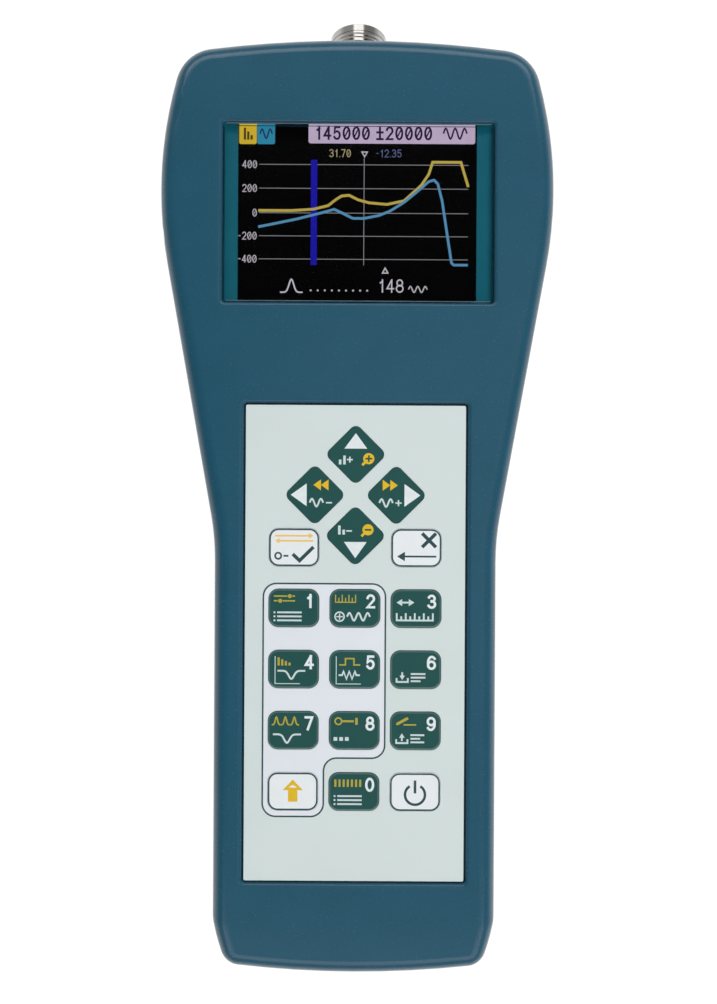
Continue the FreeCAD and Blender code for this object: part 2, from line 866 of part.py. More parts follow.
def usb_shell():
    """The metal shell of the USB socket."""
    x, z = usb_bounds()
    y = (usb_inset, usb_inset + usb_length)
    shell = box(x, y, z)
    inner = box((x[0] + usb_wall, x[1] - usb_wall), (y[0] - 1, y[1] + 1),
                (z[0] + usb_wall, z[1] - usb_wall))
    return shell.cut(inner)


def usb_insert():
    """The plastic block in the USB socket, with the tongue that carries the contacts."""
    x, z = usb_bounds()
    wall = usb_wall
    end_y = usb_inset + usb_length
    block = box((x[0] + wall, x[1] - wall), (end_y - usb_back, end_y), (z[0] + wall, z[1] - wall))
    lip = (usb_width - 2 * wall - usb_mouth_width) / 2
    frame = box((x[0] + wall, x[1] - wall), (usb_inset + usb_mouth_inset, end_y),
                (z[0] + wall, z[1] - wall))
    frame = frame.cut(box((x[0] + wall + lip, x[1] - wall - lip), (-1, end_y - usb_back),
                          (z[0] + wall + lip, z[1] - wall - lip)))
    middle = (z[0] + z[1]) / 2
    tongue = box((-usb_tongue_width / 2, usb_tongue_width / 2),
                 (usb_inset + usb_tongue_inset, end_y - usb_back),
                 (middle - usb_tongue_height / 2, middle + usb_tongue_height / 2))
    return block.fuse(frame).fuse(tongue).removeSplitter()


def jack_body():
    """The N jack's body: flange inside the case, thread and rim outside it.

    The thread is plain: at its crest radius, and at its root radius where the nut grips it.
    """
    rim_y = jack_tip_y - jack_rim_length
    body = rod(jack_barrel_radius, (jack_barrel_y, jack_inner_y - jack_flange_thickness))
    body = body.fuse(rod(jack_flange_radius, (jack_inner_y - jack_flange_thickness, jack_inner_y)))
    body = body.fuse(rod(jack_thread_radius, (jack_inner_y, nut_start_y)))
    body = body.fuse(rod(jack_root_radius, (nut_start_y, nut_end_y)))
    body = body.fuse(rod(jack_thread_radius, (nut_end_y, rim_y)))
    body = body.fuse(rod(jack_rim_radius, (rim_y, jack_tip_y - jack_rim_chamfer)))
    nose = Part.makeCone(jack_rim_radius, jack_rim_radius - jack_rim_chamfer, jack_rim_chamfer,
                         Vector(0, jack_tip_y - jack_rim_chamfer, jack_z), Vector(0, 1, 0))
    body = body.fuse(nose)
    body = body.cut(rod(jack_bore_radius, (jack_barrel_y - 1, jack_tip_y + 1)))
    mouth = Part.makeCone(jack_bore_radius, jack_bore_radius + jack_bore_chamfer,
                          jack_bore_chamfer,
                          Vector(0, jack_tip_y - jack_bore_chamfer, jack_z), Vector(0, 1, 0))
    return body.cut(mouth).removeSplitter()


def jack_insulator():
    """The white insulator inside the jack."""
    y = (jack_barrel_y, jack_tip_y - jack_bore_depth)
    core = rod(jack_bore_radius - jack_fit, y)
    return core.cut(rod(contact_pin_radius + jack_fit, (y[0] - 1, y[1] + 1)))


def jack_contact():
    """The centre contact of the jack, a slotted sleeve at its front end."""
    tip = jack_tip_y - contact_pin_depth
    pin = rod(contact_pin_radius, (jack_barrel_y, tip))
    pin = pin.cut(rod(contact_hole_radius, (tip - contact_hole_depth, tip + 1)))
    half = contact_slot_width / 2
    slot = box((-half, half), (tip - contact_hole_depth, tip + 1),
               (jack_z - 2 * contact_pin_radius, jack_z + 2 * contact_pin_radius))
    cross = box((-2 * contact_pin_radius, 2 * contact_pin_radius),
                (tip - contact_hole_depth, tip + 1), (jack_z - half, jack_z + half))
    return pin.cut(slot).cut(cross)


def jack_washer():
    """The washer between the case and the jack's nut."""
    return rod(washer_radius, (jack_seat_y, nut_start_y)).cut(
        rod(jack_thread_radius + jack_hole_clearance, (jack_seat_y - 1, nut_start_y + 1)))


def jack_nut():
    """The hexagon nut that holds the jack in the end wall."""
    corner = nut_across_flats / math.sqrt(3)
    points = []
    for step in range(7):
        turn = math.radians(60 * step)
        points.append(Vector(corner * math.cos(turn), nut_start_y,
                             jack_z + corner * math.sin(turn)))
    nut = Part.Face(Part.makePolygon(points)).extrude(Vector(0, nut_thickness, 0))
    chamfer = corner - nut_across_flats / 2
    blank = rod(corner, (nut_start_y, nut_end_y))
    blank = blank.makeChamfer(chamfer * 0.8, [edge for edge in blank.Edges
                                              if abs(edge.BoundBox.YMin - nut_end_y) < 1e-4])
    nut = nut.common(blank)
    return nut.cut(rod(jack_root_radius + nut_running_gap, (nut_start_y - 1, nut_end_y + 1)))


def coax_jumper():
    """The coaxial cable from the back of the jack up to the board."""
    y = jack_barrel_y - coax_run
    points = [Vector(0, jack_barrel_y, jack_z), Vector(0, y, jack_z),
              Vector(0, y, board_under_z)]
    return tube(points, coax_radius, coax_bend_radius)


def door_channel():
    """The space in the back of the case that the battery door slides in."""
    half = door_half_width + door_gap
    wide = half + door_tongue_reach
    step_z = door_recess + door_skin - door_gap
    end_y = door_end_y + door_gap
    outer = box((-half, half), (-1, end_y), (-1, step_z))
    inner = box((-wide, wide), (-1, end_y), (step_z, channel_top_z))
    return outer.fuse(inner)


def battery_door():
    """The door over the battery compartment, which slides off the bottom end."""
    half = door_half_width
    wide = half + door_tongue_reach
    step_z = door_recess + door_skin
    door = box((-half, half), (-1, door_end_y), (door_recess, step_z))
    door = door.fuse(box((-wide, wide), (-1, door_end_y), (step_z, door_top_z)))
    door = door.common(CASE_OUTSIDE)
    pocket_z = door_recess + grip_pocket_depth
    door = door.cut(rounded_box((0, grip_pocket_y), grip_pocket_width, grip_pocket_length,
                                door_skin, (0, pocket_z)))
    for step in range(grip_rib_count):
        middle = grip_pocket_y + (step - (grip_rib_count - 1) / 2) * 2 * grip_rib_width
        rib = box((-grip_pocket_width / 2 + door_skin, grip_pocket_width / 2 - door_skin),
                  (middle - grip_rib_width / 2, middle + grip_rib_width / 2),
                  (door_recess, pocket_z + door_skin / 4))
        door = door.fuse(rib)
    return door.removeSplitter()


def cell_places():
    """X of each cell, and which way its positive end points."""
    first = -cell_pitch * (cell_count - 1) / 2
    return [(first + step * cell_pitch, 1 if step % 2 == 0 else -1) for step in range(cell_count)]


def battery_cell(x, way):
    """One AA cell lying along Y, its positive end towards the way given."""
    plate = contact_plate_thickness
    middle = compartment_y + compartment_length / 2
    end = middle + way * (compartment_length / 2 - plate)
    shoulder = end - way * cell_nub_height
    back = end - way * cell_length
    can = rod(cell_radius, sorted((back, shoulder)), (x, cell_z))
    rims = [edge for edge in can.Edges if edge.BoundBox.YLength < 1e-4]
    can = can.makeFillet(cell_nub_height / 2, rims)
    return can.fuse(rod(cell_nub_radius, sorted((shoulder, end)), (x, cell_z)))


def positive_end():
    """X of the first cell, and the end of the compartment where its positive end is."""
    return cell_places()[0]


def negative_end():
    """X of the last cell, and the end of the compartment where its negative end is."""
    x, way = cell_places()[-1]
    return x, -way


def end_wall(way):
    """Y of the compartment's inner end face, at the end given."""
    return compartment_y + compartment_length / 2 + way * compartment_length / 2


def contact_plate(x, way):
    """The flat plate of a contact, on the end wall given."""
    wall = end_wall(way)
    return box((x - contact_plate_width / 2, x + contact_plate_width / 2),
               sorted((wall, wall - way * contact_plate_thickness)),
               (cell_z - contact_plate_height / 2, cell_z + contact_plate_height / 2))


def contact_tab(x, way, gap=0):
    """The strip that leads from a contact through the end wall, or the slot for it."""
    wall = end_wall(way)
    y = sorted((wall - way * (contact_plate_thickness - gap), wall + way * (tab_reach + gap)))
    return box((x - tab_width / 2 - gap, x + tab_width / 2 + gap), y,
               (cell_z - contact_plate_thickness / 2 - gap,
                cell_z + contact_plate_thickness / 2 + gap))


def contact_leaf(x, way):
    """The bowed leaf that presses a cell's negative end, on the plate at the end given."""
    wall = end_wall(way)
    thick = contact_plate_thickness / 2
    crest = wall - way * (contact_room - 3 * thick)
    base = wall - way * thick
    low = cell_z - contact_plate_height / 2
    high = cell_z + contact_plate_height / 2
    outer = Part.Arc(Vector(x, base, low), Vector(x, crest - way * thick, cell_z),
                     Vector(x, base, high)).toShape()
    inner = Part.Arc(Vector(x, base, low + 2 * thick), Vector(x, crest + way * thick, cell_z),
                     Vector(x, base, high - 2 * thick)).toShape()
    ends = [Part.makeLine(Vector(x, base, low), Vector(x, base, low + 2 * thick)),
            Part.makeLine(Vector(x, base, high), Vector(x, base, high - 2 * thick))]
    face = Part.Face(Part.Wire(Part.__sortEdges__([outer, inner] + ends)))
    leaf = face.extrude(Vector(spring_leaf_width, 0, 0))
    leaf.translate(Vector(-spring_leaf_width / 2, 0, 0))
    return leaf


def contact_positive():
    """The contact of the first cell's positive end, with its tab."""
    x, way = positive_end()
    return contact_plate(x, way).fuse(contact_tab(x, way)).removeSplitter()


def contact_negative():
    """The sprung contact of the last cell's negative end, with its tab."""
    x, way = negative_end()
    spring = contact_plate(x, way).fuse(contact_leaf(x, way))
    return spring.fuse(contact_tab(x, way)).removeSplitter()


def contact_bridges():
    """The contacts that join each cell's negative end to the next cell's positive end."""
    made = []
    places = cell_places()
    for (x, way), (next_x, next_way) in zip(places, places[1:]):
        wall = end_wall(-way)
        bridge = contact_plate(x, -way).fuse(contact_leaf(x, -way))
        bridge = bridge.fuse(contact_plate(next_x, next_way))
        strip = box((x, next_x), sorted((wall, wall + way * contact_plate_thickness)),
                    (cell_z - bridge_height / 2, cell_z + bridge_height / 2))
        made.append(bridge.fuse(strip).removeSplitter())
    return made


def battery_lead(x, way):
    """A wire from the end of a contact's tab up to the board."""
    start = end_wall(way) + way * tab_reach
    turn = start + way * lead_run
    points = [Vector(x, start, cell_z), Vector(x, turn, cell_z), Vector(x, turn, board_under_z)]
    return tube(points, lead_radius, lead_bend_radius)


def battery_lead_positive():
    """The wire from the positive contact."""
    return battery_lead(*positive_end())


def battery_lead_negative():
    """The wire from the negative contact."""
    return battery_lead(*negative_end())


def nodes():
    """Every sub-part, by name: a solid, or a list of separate solids."""
    made = {}
    for index, (x, way) in enumerate(cell_places()):
        made["battery_cell_%d" % (index + 1)] = battery_cell(x, way)
    made.update(keys())
    for build in (front_shell, rear_shell, case_gasket, case_screws, case_inserts,
                  display_lens, lens_tape, lcd_panel, lcd_backlight, lcd_carrier, lcd_screws,
                  lcd_ribbon, keypad_overlay, keypad_spacer, keypad_circuit, keypad_tail,
                  main_board, board_screws, ribbon_connectors, board_chips, board_capacitors,
                  beeper, shield_can, usb_shell, usb_insert, jack_body, jack_insulator,
                  jack_contact, jack_washer, jack_nut, coax_jumper, battery_door,
                  contact_positive, contact_negative, contact_bridges, battery_lead_positive,
                  battery_lead_negative):
        made[build.__name__] = build()
    return made


def main():
    """Writes each sub-part with the middle of the back, under the whole length, at the origin."""
    os.makedirs("parts", exist_ok=True)
    to_origin = Vector(0, -overall_length / 2, 0)
    for name, shape in nodes().items():
        if isinstance(shape, (list, tuple)):
            shape = Part.makeCompound(shape)
        shape = shape.copy()
        shape.translate(to_origin)
        shape.exportStep("parts/" + name + ".step")
        print(name, len(shape.Solids), "solids", round(shape.Volume), "mm3", shape.isValid())


main()
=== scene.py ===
import json
import math

import bmesh
import bpy
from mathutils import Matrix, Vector
from mathutils.geometry import tessellate_polygon


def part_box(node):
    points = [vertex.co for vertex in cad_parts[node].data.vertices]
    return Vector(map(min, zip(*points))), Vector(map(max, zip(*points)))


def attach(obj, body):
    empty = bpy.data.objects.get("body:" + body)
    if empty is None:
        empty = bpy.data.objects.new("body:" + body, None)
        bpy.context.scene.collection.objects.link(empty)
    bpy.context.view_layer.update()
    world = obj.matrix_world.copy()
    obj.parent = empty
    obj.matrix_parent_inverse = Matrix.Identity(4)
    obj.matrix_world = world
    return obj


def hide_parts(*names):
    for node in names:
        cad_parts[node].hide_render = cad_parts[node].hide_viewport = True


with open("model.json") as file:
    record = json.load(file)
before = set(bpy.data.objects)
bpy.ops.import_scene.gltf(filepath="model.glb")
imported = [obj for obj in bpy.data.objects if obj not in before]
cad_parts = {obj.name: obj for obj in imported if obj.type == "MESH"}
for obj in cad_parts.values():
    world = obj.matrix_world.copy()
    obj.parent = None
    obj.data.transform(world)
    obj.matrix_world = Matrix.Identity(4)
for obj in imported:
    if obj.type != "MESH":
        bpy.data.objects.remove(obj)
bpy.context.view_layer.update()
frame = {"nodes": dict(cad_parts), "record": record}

# The looks of a hand-held antenna analyzer that lies on its back.
# Places and sizes are in millimetres and are turned into metres where a mesh is made.
# X runs to the right, Y towards the jack and Z out of the face.

MM = 0.001

# Camera, straight above the face: its place, its turn in radians, and its lens, sensor and reach
CAMERA_PLACE = (0.73, -8.54, 236.0)
CAMERA_TURN = 0.0058
CAMERA_LENS = 26.53
CAMERA_SENSOR = 36.0
CAMERA_REACH = (0.01, 20.0)

# Keys, as in the solids
KEY_WIDTH = 12.35
KEY_HEIGHT = 9.35
KEY_RADIUS = 2.4
ARROW_SIDE = 10.65
ARROW_RADIUS = 1.6
ARROWS = ("key_up", "key_down", "key_left", "key_right")
PALE_KEYS = ("key_ok", "key_cancel", "key_function", "key_power")

# Print: how far it reaches below and above its surface, and how much higher each further layer
# and each further shape of a layer lies
PRINT_BELOW = 0.005
PRINT_ABOVE = 0.012
PRINT_LAYER = 0.008
PRINT_STEP = 0.0008

# Stroke widths of the print
HEAVY = 0.62
BOLD = 0.44
MEDIUM = 0.36
THIN = 0.28
FINE = 0.2

# The cosine at which a stroke's corner stops getting sharper
MITRE_LIMIT = 0.5
# Points of a piece closer than this are one point, in metres
MERGE_DISTANCE = 1e-8
# The main board's tracks
TRACK_PITCH = 6


# -------- outlines, in millimetres

def bow(centre, size, start, end, steps=18):
    """Points along an upright ellipse's arc, in degrees from +X."""
    turns = [math.radians(start + (end - start) * i / steps) for i in range(steps + 1)]
    return [(centre[0] + size[0] * math.cos(turn), centre[1] + size[1] * math.sin(turn))
            for turn in turns]


def arc(centre, radius, start, end, steps=12):
    """Points along a circle's arc, in degrees from +X."""
    return bow(centre, (radius, radius), start, end, steps)


def disc(centre, radius, steps=32):
    """A round outline."""
    return arc(centre, radius, 0, 360 - 360 / steps, steps - 1)


def left_of(way):
    """A direction turned a quarter to the left."""
    return Vector((-way.y, way.x))


def rounded(corners, radius, inset=0, steps=6):
    """A closed outline with round corners, given counter-clockwise and moved inward by inset."""
    points = []
    count = len(corners)
    for i in range(count):
        corner = Vector(corners[i])
        before = (corner - Vector(corners[i - 1])).normalized()
        after = (Vector(corners[(i + 1) % count]) - corner).normalized()
        bulge = 1 if before.cross(after) > 0 else -1
        turn = before.angle(after)
        middle = (left_of(before) + left_of(after)).normalized() / math.cos(turn / 2)
        corner = corner + middle * inset
        size = radius - bulge * inset
        if size <= 0:
            points.append(tuple(corner))
            continue
        centre = corner + middle * (bulge * size)
        out = left_of(before) * -bulge
        first = math.degrees(math.atan2(out.y, out.x))
        sweep = bulge * math.degrees(turn)
        points += arc(centre, size, first, first + sweep, steps)
    return points


def block(centre, width, height, radius=0, inset=0):
    """An upright rectangle with round corners."""
    x, y = width / 2, height / 2
    corners = [(centre[0] - x, centre[1] - y), (centre[0] + x, centre[1] - y),
               (centre[0] + x, centre[1] + y), (centre[0] - x, centre[1] + y)]
    return rounded(corners, radius, inset)


def diamond(centre, side, radius, inset=0):
    """A square with round corners that stands on one corner."""
    return rounded(arc(centre, side / math.sqrt(2), 0, 270, 3), radius, inset)


def stroke(points, width):
    """The outline of an open line of even width."""
    half = width / 2
    left, right = [], []
    count = len(points)
    for i, point in enumerate(points):
        here = Vector(point)
        before = (here - Vector(points[i - 1])).normalized() if i > 0 else None
        after = (Vector(points[i + 1]) - here).normalized() if i < count - 1 else None
        into = before or after
        out = after or before
        side = (left_of(into) + left_of(out)).normalized()
        reach = half / max(MITRE_LIMIT, side.dot(left_of(into)))
        left.append(tuple(here + side * reach))
        right.append(tuple(here - side * reach))
    return right + left[::-1]


def band(points, width):
    """The outline and the hole of a closed line of even width, given counter-clockwise."""
    outer, inner = [], []
    count = len(points)
    for i, point in enumerate(points):
        along = (Vector(points[(i + 1) % count]) - Vector(points[i - 1])).normalized()
        aside = left_of(along) * width / 2
        outer.append(tuple(Vector(point) - aside))
        inner.append(tuple(Vector(point) + aside))
    return [outer, inner]


def capped(points, reach):
    """An open line made longer at both ends."""
    first, second = Vector(points[0]), Vector(points[1])
    last, before = Vector(points[-1]), Vector(points[-2])
    start = first + (first - second).normalized() * reach
    end = last + (last - before).normalized() * reach
    return [tuple(start)] + points[1:-1] + [tuple(end)]


# -------- small drawings, in millimetres
# Each returns a list of shapes, and a shape is an outline followed by its holes.

def line(points, width=MEDIUM):
    """A line through points."""
    return [[stroke(points, width)]]


def ring(centre, radius, width=MEDIUM):
    """A round ring."""
    return [[disc(centre, radius + width / 2), disc(centre, radius - width / 2)]]


def polygon(*points):
    """A filled polygon."""
    return [[list(points)]]


def cross(centre, reach, width=MEDIUM, angle=0):
    """A cross with four equal arms."""
    half = width / 2
    outline = []
    for turn in (0, 90, 180, 270):
        way = math.radians(turn + angle)
        for along, aside in ((half, -half), (reach, -half), (reach, half)):
            outline.append((centre[0] + along * math.cos(way) - aside * math.sin(way),
                            centre[1] + along * math.sin(way) + aside * math.cos(way)))
    return [[outline]]


def curve(centre, width, steps, rise, weight):
    """A curve over a width. A function of the share of the width gives its rise."""
    return line([(centre[0] + (i / steps - 0.5) * width, centre[1] + rise(i / steps))
                 for i in range(steps + 1)], weight)


def wave(centre, width, height, cycles, weight=MEDIUM):
    """A sine wave."""
    return curve(centre, width, int(12 * cycles),
                 lambda share: height / 2 * math.sin(math.tau * cycles * share), weight)


def hump(centre, width, height, sharpness=14, weight=MEDIUM):
    """A resonance curve: one smooth peak, or a dip where the height is negative."""
    return curve(centre, width, 26,
                 lambda share: height * (math.exp(-sharpness * (2 * share - 1) ** 2) - 0.5), weight)


def zigzag(centre, width, height, count, weight):
    """A resistor's zigzag between two short leads."""
    lead = width / 6
    start = centre[0] - width / 2
    points = [(start, centre[1]), (start + lead, centre[1])]
    pitch = (width - 2 * lead) / count
    for i in range(count):
        points.append((start + lead + (i + 0.5) * pitch, centre[1] + (-1) ** i * height / 2))
    points += [(start + width - lead, centre[1]), (start + width, centre[1])]
    return line(points, weight)


def columns(centre, width, heights, share=0.6):
    """A row of upright bars on one base line."""
    tallest = max(heights)
    pitch = width / (len(heights) - 1 + share)
    base = centre[1] - tallest / 2
    shapes = []
    for i, height in enumerate(heights):
        x = centre[0] - width / 2 + pitch * (i + share / 2)
        shapes.append([block((x, base + height / 2), pitch * share, height)])
    return shapes


def rows(centre, widths, height, weight):
    """Level bars under each other, all starting at the same place on the left."""
    widest = max(widths)
    pitch = (height - weight) / (len(widths) - 1)
    shapes = []
    for i, width in enumerate(widths):
        y = centre[1] + height / 2 - weight / 2 - i * pitch
        shapes.append([block((centre[0] - widest / 2 + width / 2, y), width, weight)])
    return shapes


def listing(centre, width, height, weight):
    """Three level bars, each with a dot before it."""
    shapes = rows((centre[0] + weight, centre[1]), [width - 2 * weight] * 3, height, weight)
    pitch = (height - weight) / 2
    for i in (-1, 0, 1):
        shapes.append([block((centre[0] - width / 2 + weight / 2, centre[1] + i * pitch),
                             weight, weight)])
    return shapes


def sliders(centre, width, height, weight=MEDIUM):
    """Two level bars, each with a round knob."""
    shapes = []
    for side, share in ((1, 0.25), (-1, -0.2)):
        y = centre[1] + side * (height - weight) / 3
        x = centre[0] + share * width
        knob = height / 4.2
        gap = knob + weight / 3
        shapes += line([(centre[0] - width / 2, y), (x - gap, y)], weight)
        shapes += line([(x + gap, y), (centre[0] + width / 2, y)], weight)
        shapes.append([disc((x, y), knob, 16)])
    return shapes


def ruler(centre, width, height, ticks, weight):
    """A level bar with ticks that stand on it."""
    base = centre[1] - height / 2
    left = centre[0] - width / 2
    pitch = (width - weight) / (ticks - 1)
    outline = [(left + width, base), (left + width, base + weight)]
    for i in reversed(range(ticks)):
        x = left + i * pitch
        reach = height if i % 2 == 0 else height * 0.62
        outline += [(x + weight, base + weight), (x + weight, base + reach),
                    (x, base + reach), (x, base + weight)]
    outline.append((left, base))
    return [[outline]]


def arrow(start, end, head, weight):
    """A straight arrow with a filled head."""
    tail, tip = Vector(start), Vector(end)
    along = (tip - tail).normalized()
    half = left_of(along) * weight / 2
    barb = left_of(along) * head * 0.62
    neck = tip - along * head
    return [[[tuple(point) for point in (tail + half, tail - half, neck - half, neck - barb, tip,
                                         neck + barb, neck + half)]]]


def tray(centre, width, height, down, weight):
    """An open tray with an arrow into it, or out of it."""
    left, right = centre[0] - width / 2 + weight / 2, centre[0] + width / 2 - weight / 2
    base = centre[1] - height / 2 + weight / 2
    lip = centre[1] - height * 0.05
    shapes = line([(left, lip), (left, base), (right, base), (right, lip)], weight)
    low = (centre[0], base + weight * 1.1)
    high = (centre[0], centre[1] + height / 2)
    start, end = (high, low) if down else (low, high)
    return shapes + arrow(start, end, height * 0.42, weight)


def target(centre, radius):
    """A ring with a cross in it, as on a polar chart."""
    return ring(centre, radius - MEDIUM / 2) + cross(centre, radius - MEDIUM * 1.4, MEDIUM * 0.8)


def magnifier(centre):
    """A filled round lens with a short handle to its lower left."""
    radius, reach = 1.37, 1.6
    handle = [(centre[0] - end, centre[1] - end) for end in (radius * 0.9 / math.sqrt(2), reach)]
    return [[disc(centre, radius)]] + line(handle, HEAVY)


# -------- digits
# A digit's lines run through places between -1 and 1, across and upright.

def oval(centre, size, steps=32):
    """A closed upright ellipse."""
    return bow(centre, size, 0, 360 - 360 / steps, steps - 1)


CLOSED = {
    "0": [oval((0, 0), (1, 1))],
    "6": [oval((0, -0.4), (1, 0.6))],
    "8": [oval((0, 0.5), (0.82, 0.5)), oval((0, -0.45), (1, 0.55))],
    "9": [oval((0, 0.4), (1, 0.6))],
}
OPEN = {
    "1": [[(0.35, 1), (0.35, -1)], [(0.35, 0.78), (-0.5, 0.5)]],
    "2": [bow((0, 0.42), (0.95, 0.58), 165, -28) + [(-0.95, -1), (0.97, -1)]],
    "3": [bow((-0.05, 0.52), (0.88, 0.48), 155, -90), bow((-0.05, -0.46), (1, 0.54), 90, -155)],
    "4": [[(0.45, 1), (-0.98, -0.45), (1, -0.45)], [(0.45, 1), (0.45, -1)]],
    "5": [[(0.8, 1), (-0.66, 1), (-0.82, 0.05)] + bow((-0.02, -0.35), (0.95, 0.65), 132, -152)],
    "6": [bow((0.1, 0.1), (1.1, 0.9), 42, 180) + [(-1, -0.4)]],
    "7": [[(-0.95, 1), (0.95, 1), (-0.3, -1)]],
    "9": [bow((-0.1, -0.1), (1.1, 0.9), 222, 360) + [(1, 0.4)]],
    "-": [[(-0.6, 0), (0.6, 0)]],
    ".": [[(-0.01, -1), (0.01, -1)]],
    "±": [[(-0.9, 0.15), (0.9, 0.15)], [(0, 0.95), (0, -0.65)], [(-0.9, -1), (0.9, -1)]],
}
SLASH = [(-0.42, -0.42), (0.42, 0.42)]
# A narrow character's width, the gap and a slash's weight, as shares of a digit's
CHARACTER_SHARES = {"1": 0.8, "-": 0.7, ".": 0.25, " ": 0.35}
DIGIT_GAP = 0.2
SLASH_WEIGHT = 0.7


def digits(text, place, style, align=0.5, slashed=False):
    """Numbers in a row, in a style of height, width and line weight.

    The place is where the share align of their length lies."""
    height, width, weight = style
    gap = width * DIGIT_GAP
    widths = [width * CHARACTER_SHARES.get(character, 1) for character in text]
    start = place[0] - (sum(widths) + gap * (len(text) - 1)) * align
    shapes = []
    for character, own in zip(text, widths):
        middle = start + own / 2
        start += own + gap
        across, upright = (own - weight) / 2, (height - weight) / 2
        lines = list(OPEN.get(character, []))
        if slashed and character == "0":
            lines.append(SLASH)
        for path in lines:
            points = [(middle + x * across, place[1] + y * upright) for x, y in path]
            thin = SLASH_WEIGHT if path is SLASH else 1
            shapes += line(capped(points, weight / 2), weight * thin)
        for path in CLOSED.get(character, []):
            points = [(middle + x * across, place[1] + y * upright) for x, y in path]
            shapes.append(band(points, weight))
    return shapes


# -------- meshes

def add_prism(mesh, loops, z, slot):
    """Adds an upright block to a bmesh, from an outline with holes, in millimetres."""
    flat = [[Vector((x, y, 0)) for x, y in loop] for loop in loops]
    lower, upper = [[mesh.verts.new((x * MM, y * MM, height * MM))
                     for loop in loops for x, y in loop] for height in z]
    faces = []
    for triangle in tessellate_polygon(flat):
        faces += [[upper[i] for i in triangle], [lower[i] for i in reversed(triangle)]]
    start = 0
    for loop in loops:
        count = len(loop)
        for i in range(count):
            a, b = start + i, start + (i + 1) % count
            faces.append((lower[a], lower[b], upper[b], upper[a]))
        start += count
    for corners in faces:
        mesh.faces.new(corners).material_index = slot


def mesh_data(mesh, name, colours):
    """Turns a bmesh into a mesh with materials."""
    data = bpy.data.meshes.new(name)
    mesh.to_mesh(data)
    mesh.free()
    for colour in colours:
        data.materials.append(MATERIALS[colour])
    return data


def add_object(name, data):
    """A new object in the scene."""
    thing = bpy.data.objects.new(name, data)
    bpy.context.scene.collection.objects.link(thing)
    return thing


def finish_piece(mesh, name, body, colours, smooth=0):
    """Turns a bmesh into a piece that rides on a body. Edges sharper than smooth stay sharp."""
    bmesh.ops.remove_doubles(mesh, verts=mesh.verts, dist=MERGE_DISTANCE)
    bmesh.ops.recalc_face_normals(mesh, faces=mesh.faces)
    data = mesh_data(mesh, name, colours)
    if smooth:
        data.shade_smooth()
        data.set_sharp_from_angle(angle=math.radians(smooth))
    piece = add_object(name, data)
    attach(piece, body)
    return piece


class Print:
    """Flat print in several colours on a level surface at height z, drawn from a centre."""

    def __init__(self, z, centre=(0, 0)):
        self.z = z
        self.centre = centre
        self.mesh = bmesh.new()
        self.colours = []

    def draw(self, colour, shapes, layer=0):
        """Adds shapes in one colour. Each shape of a layer lies a trace higher than the last."""
        if colour not in self.colours:
            self.colours.append(colour)
        for step, loops in enumerate(shapes):
            top = self.z + PRINT_ABOVE + layer * PRINT_LAYER + step * PRINT_STEP
            placed = [[(x + self.centre[0], y + self.centre[1]) for x, y in loop] for loop in loops]
            add_prism(self.mesh, placed, (self.z - PRINT_BELOW, top), self.colours.index(colour))

    def finish(self, name, body):
        """Makes the piece."""
        finish_piece(self.mesh, name, body, self.colours)


# -------- materials

def linear(red, green, blue):
    """A colour given as 0 to 255, as the shader takes it."""
    values = []
    for value in (red, green, blue):
        share = value / 255
        values.append(share / 12.92 if share <= 0.04045 else ((share + 0.055) / 1.055) ** 2.4)
    return (*values, 1)


def grey(value):
    """A grey, as the shader takes it."""
    return (value, value, value, 1)


def shade(colour, share):
    """A colour made darker or lighter."""
    return [min(1, channel * share) for channel in colour[:3]] + [1]


def fill(node, **values):
    """Sets a node's inputs. An underscore stands for a blank in the input's name."""
    for name, value in values.items():
        node.inputs[name.replace("_", " ")].default_value = value
    return node


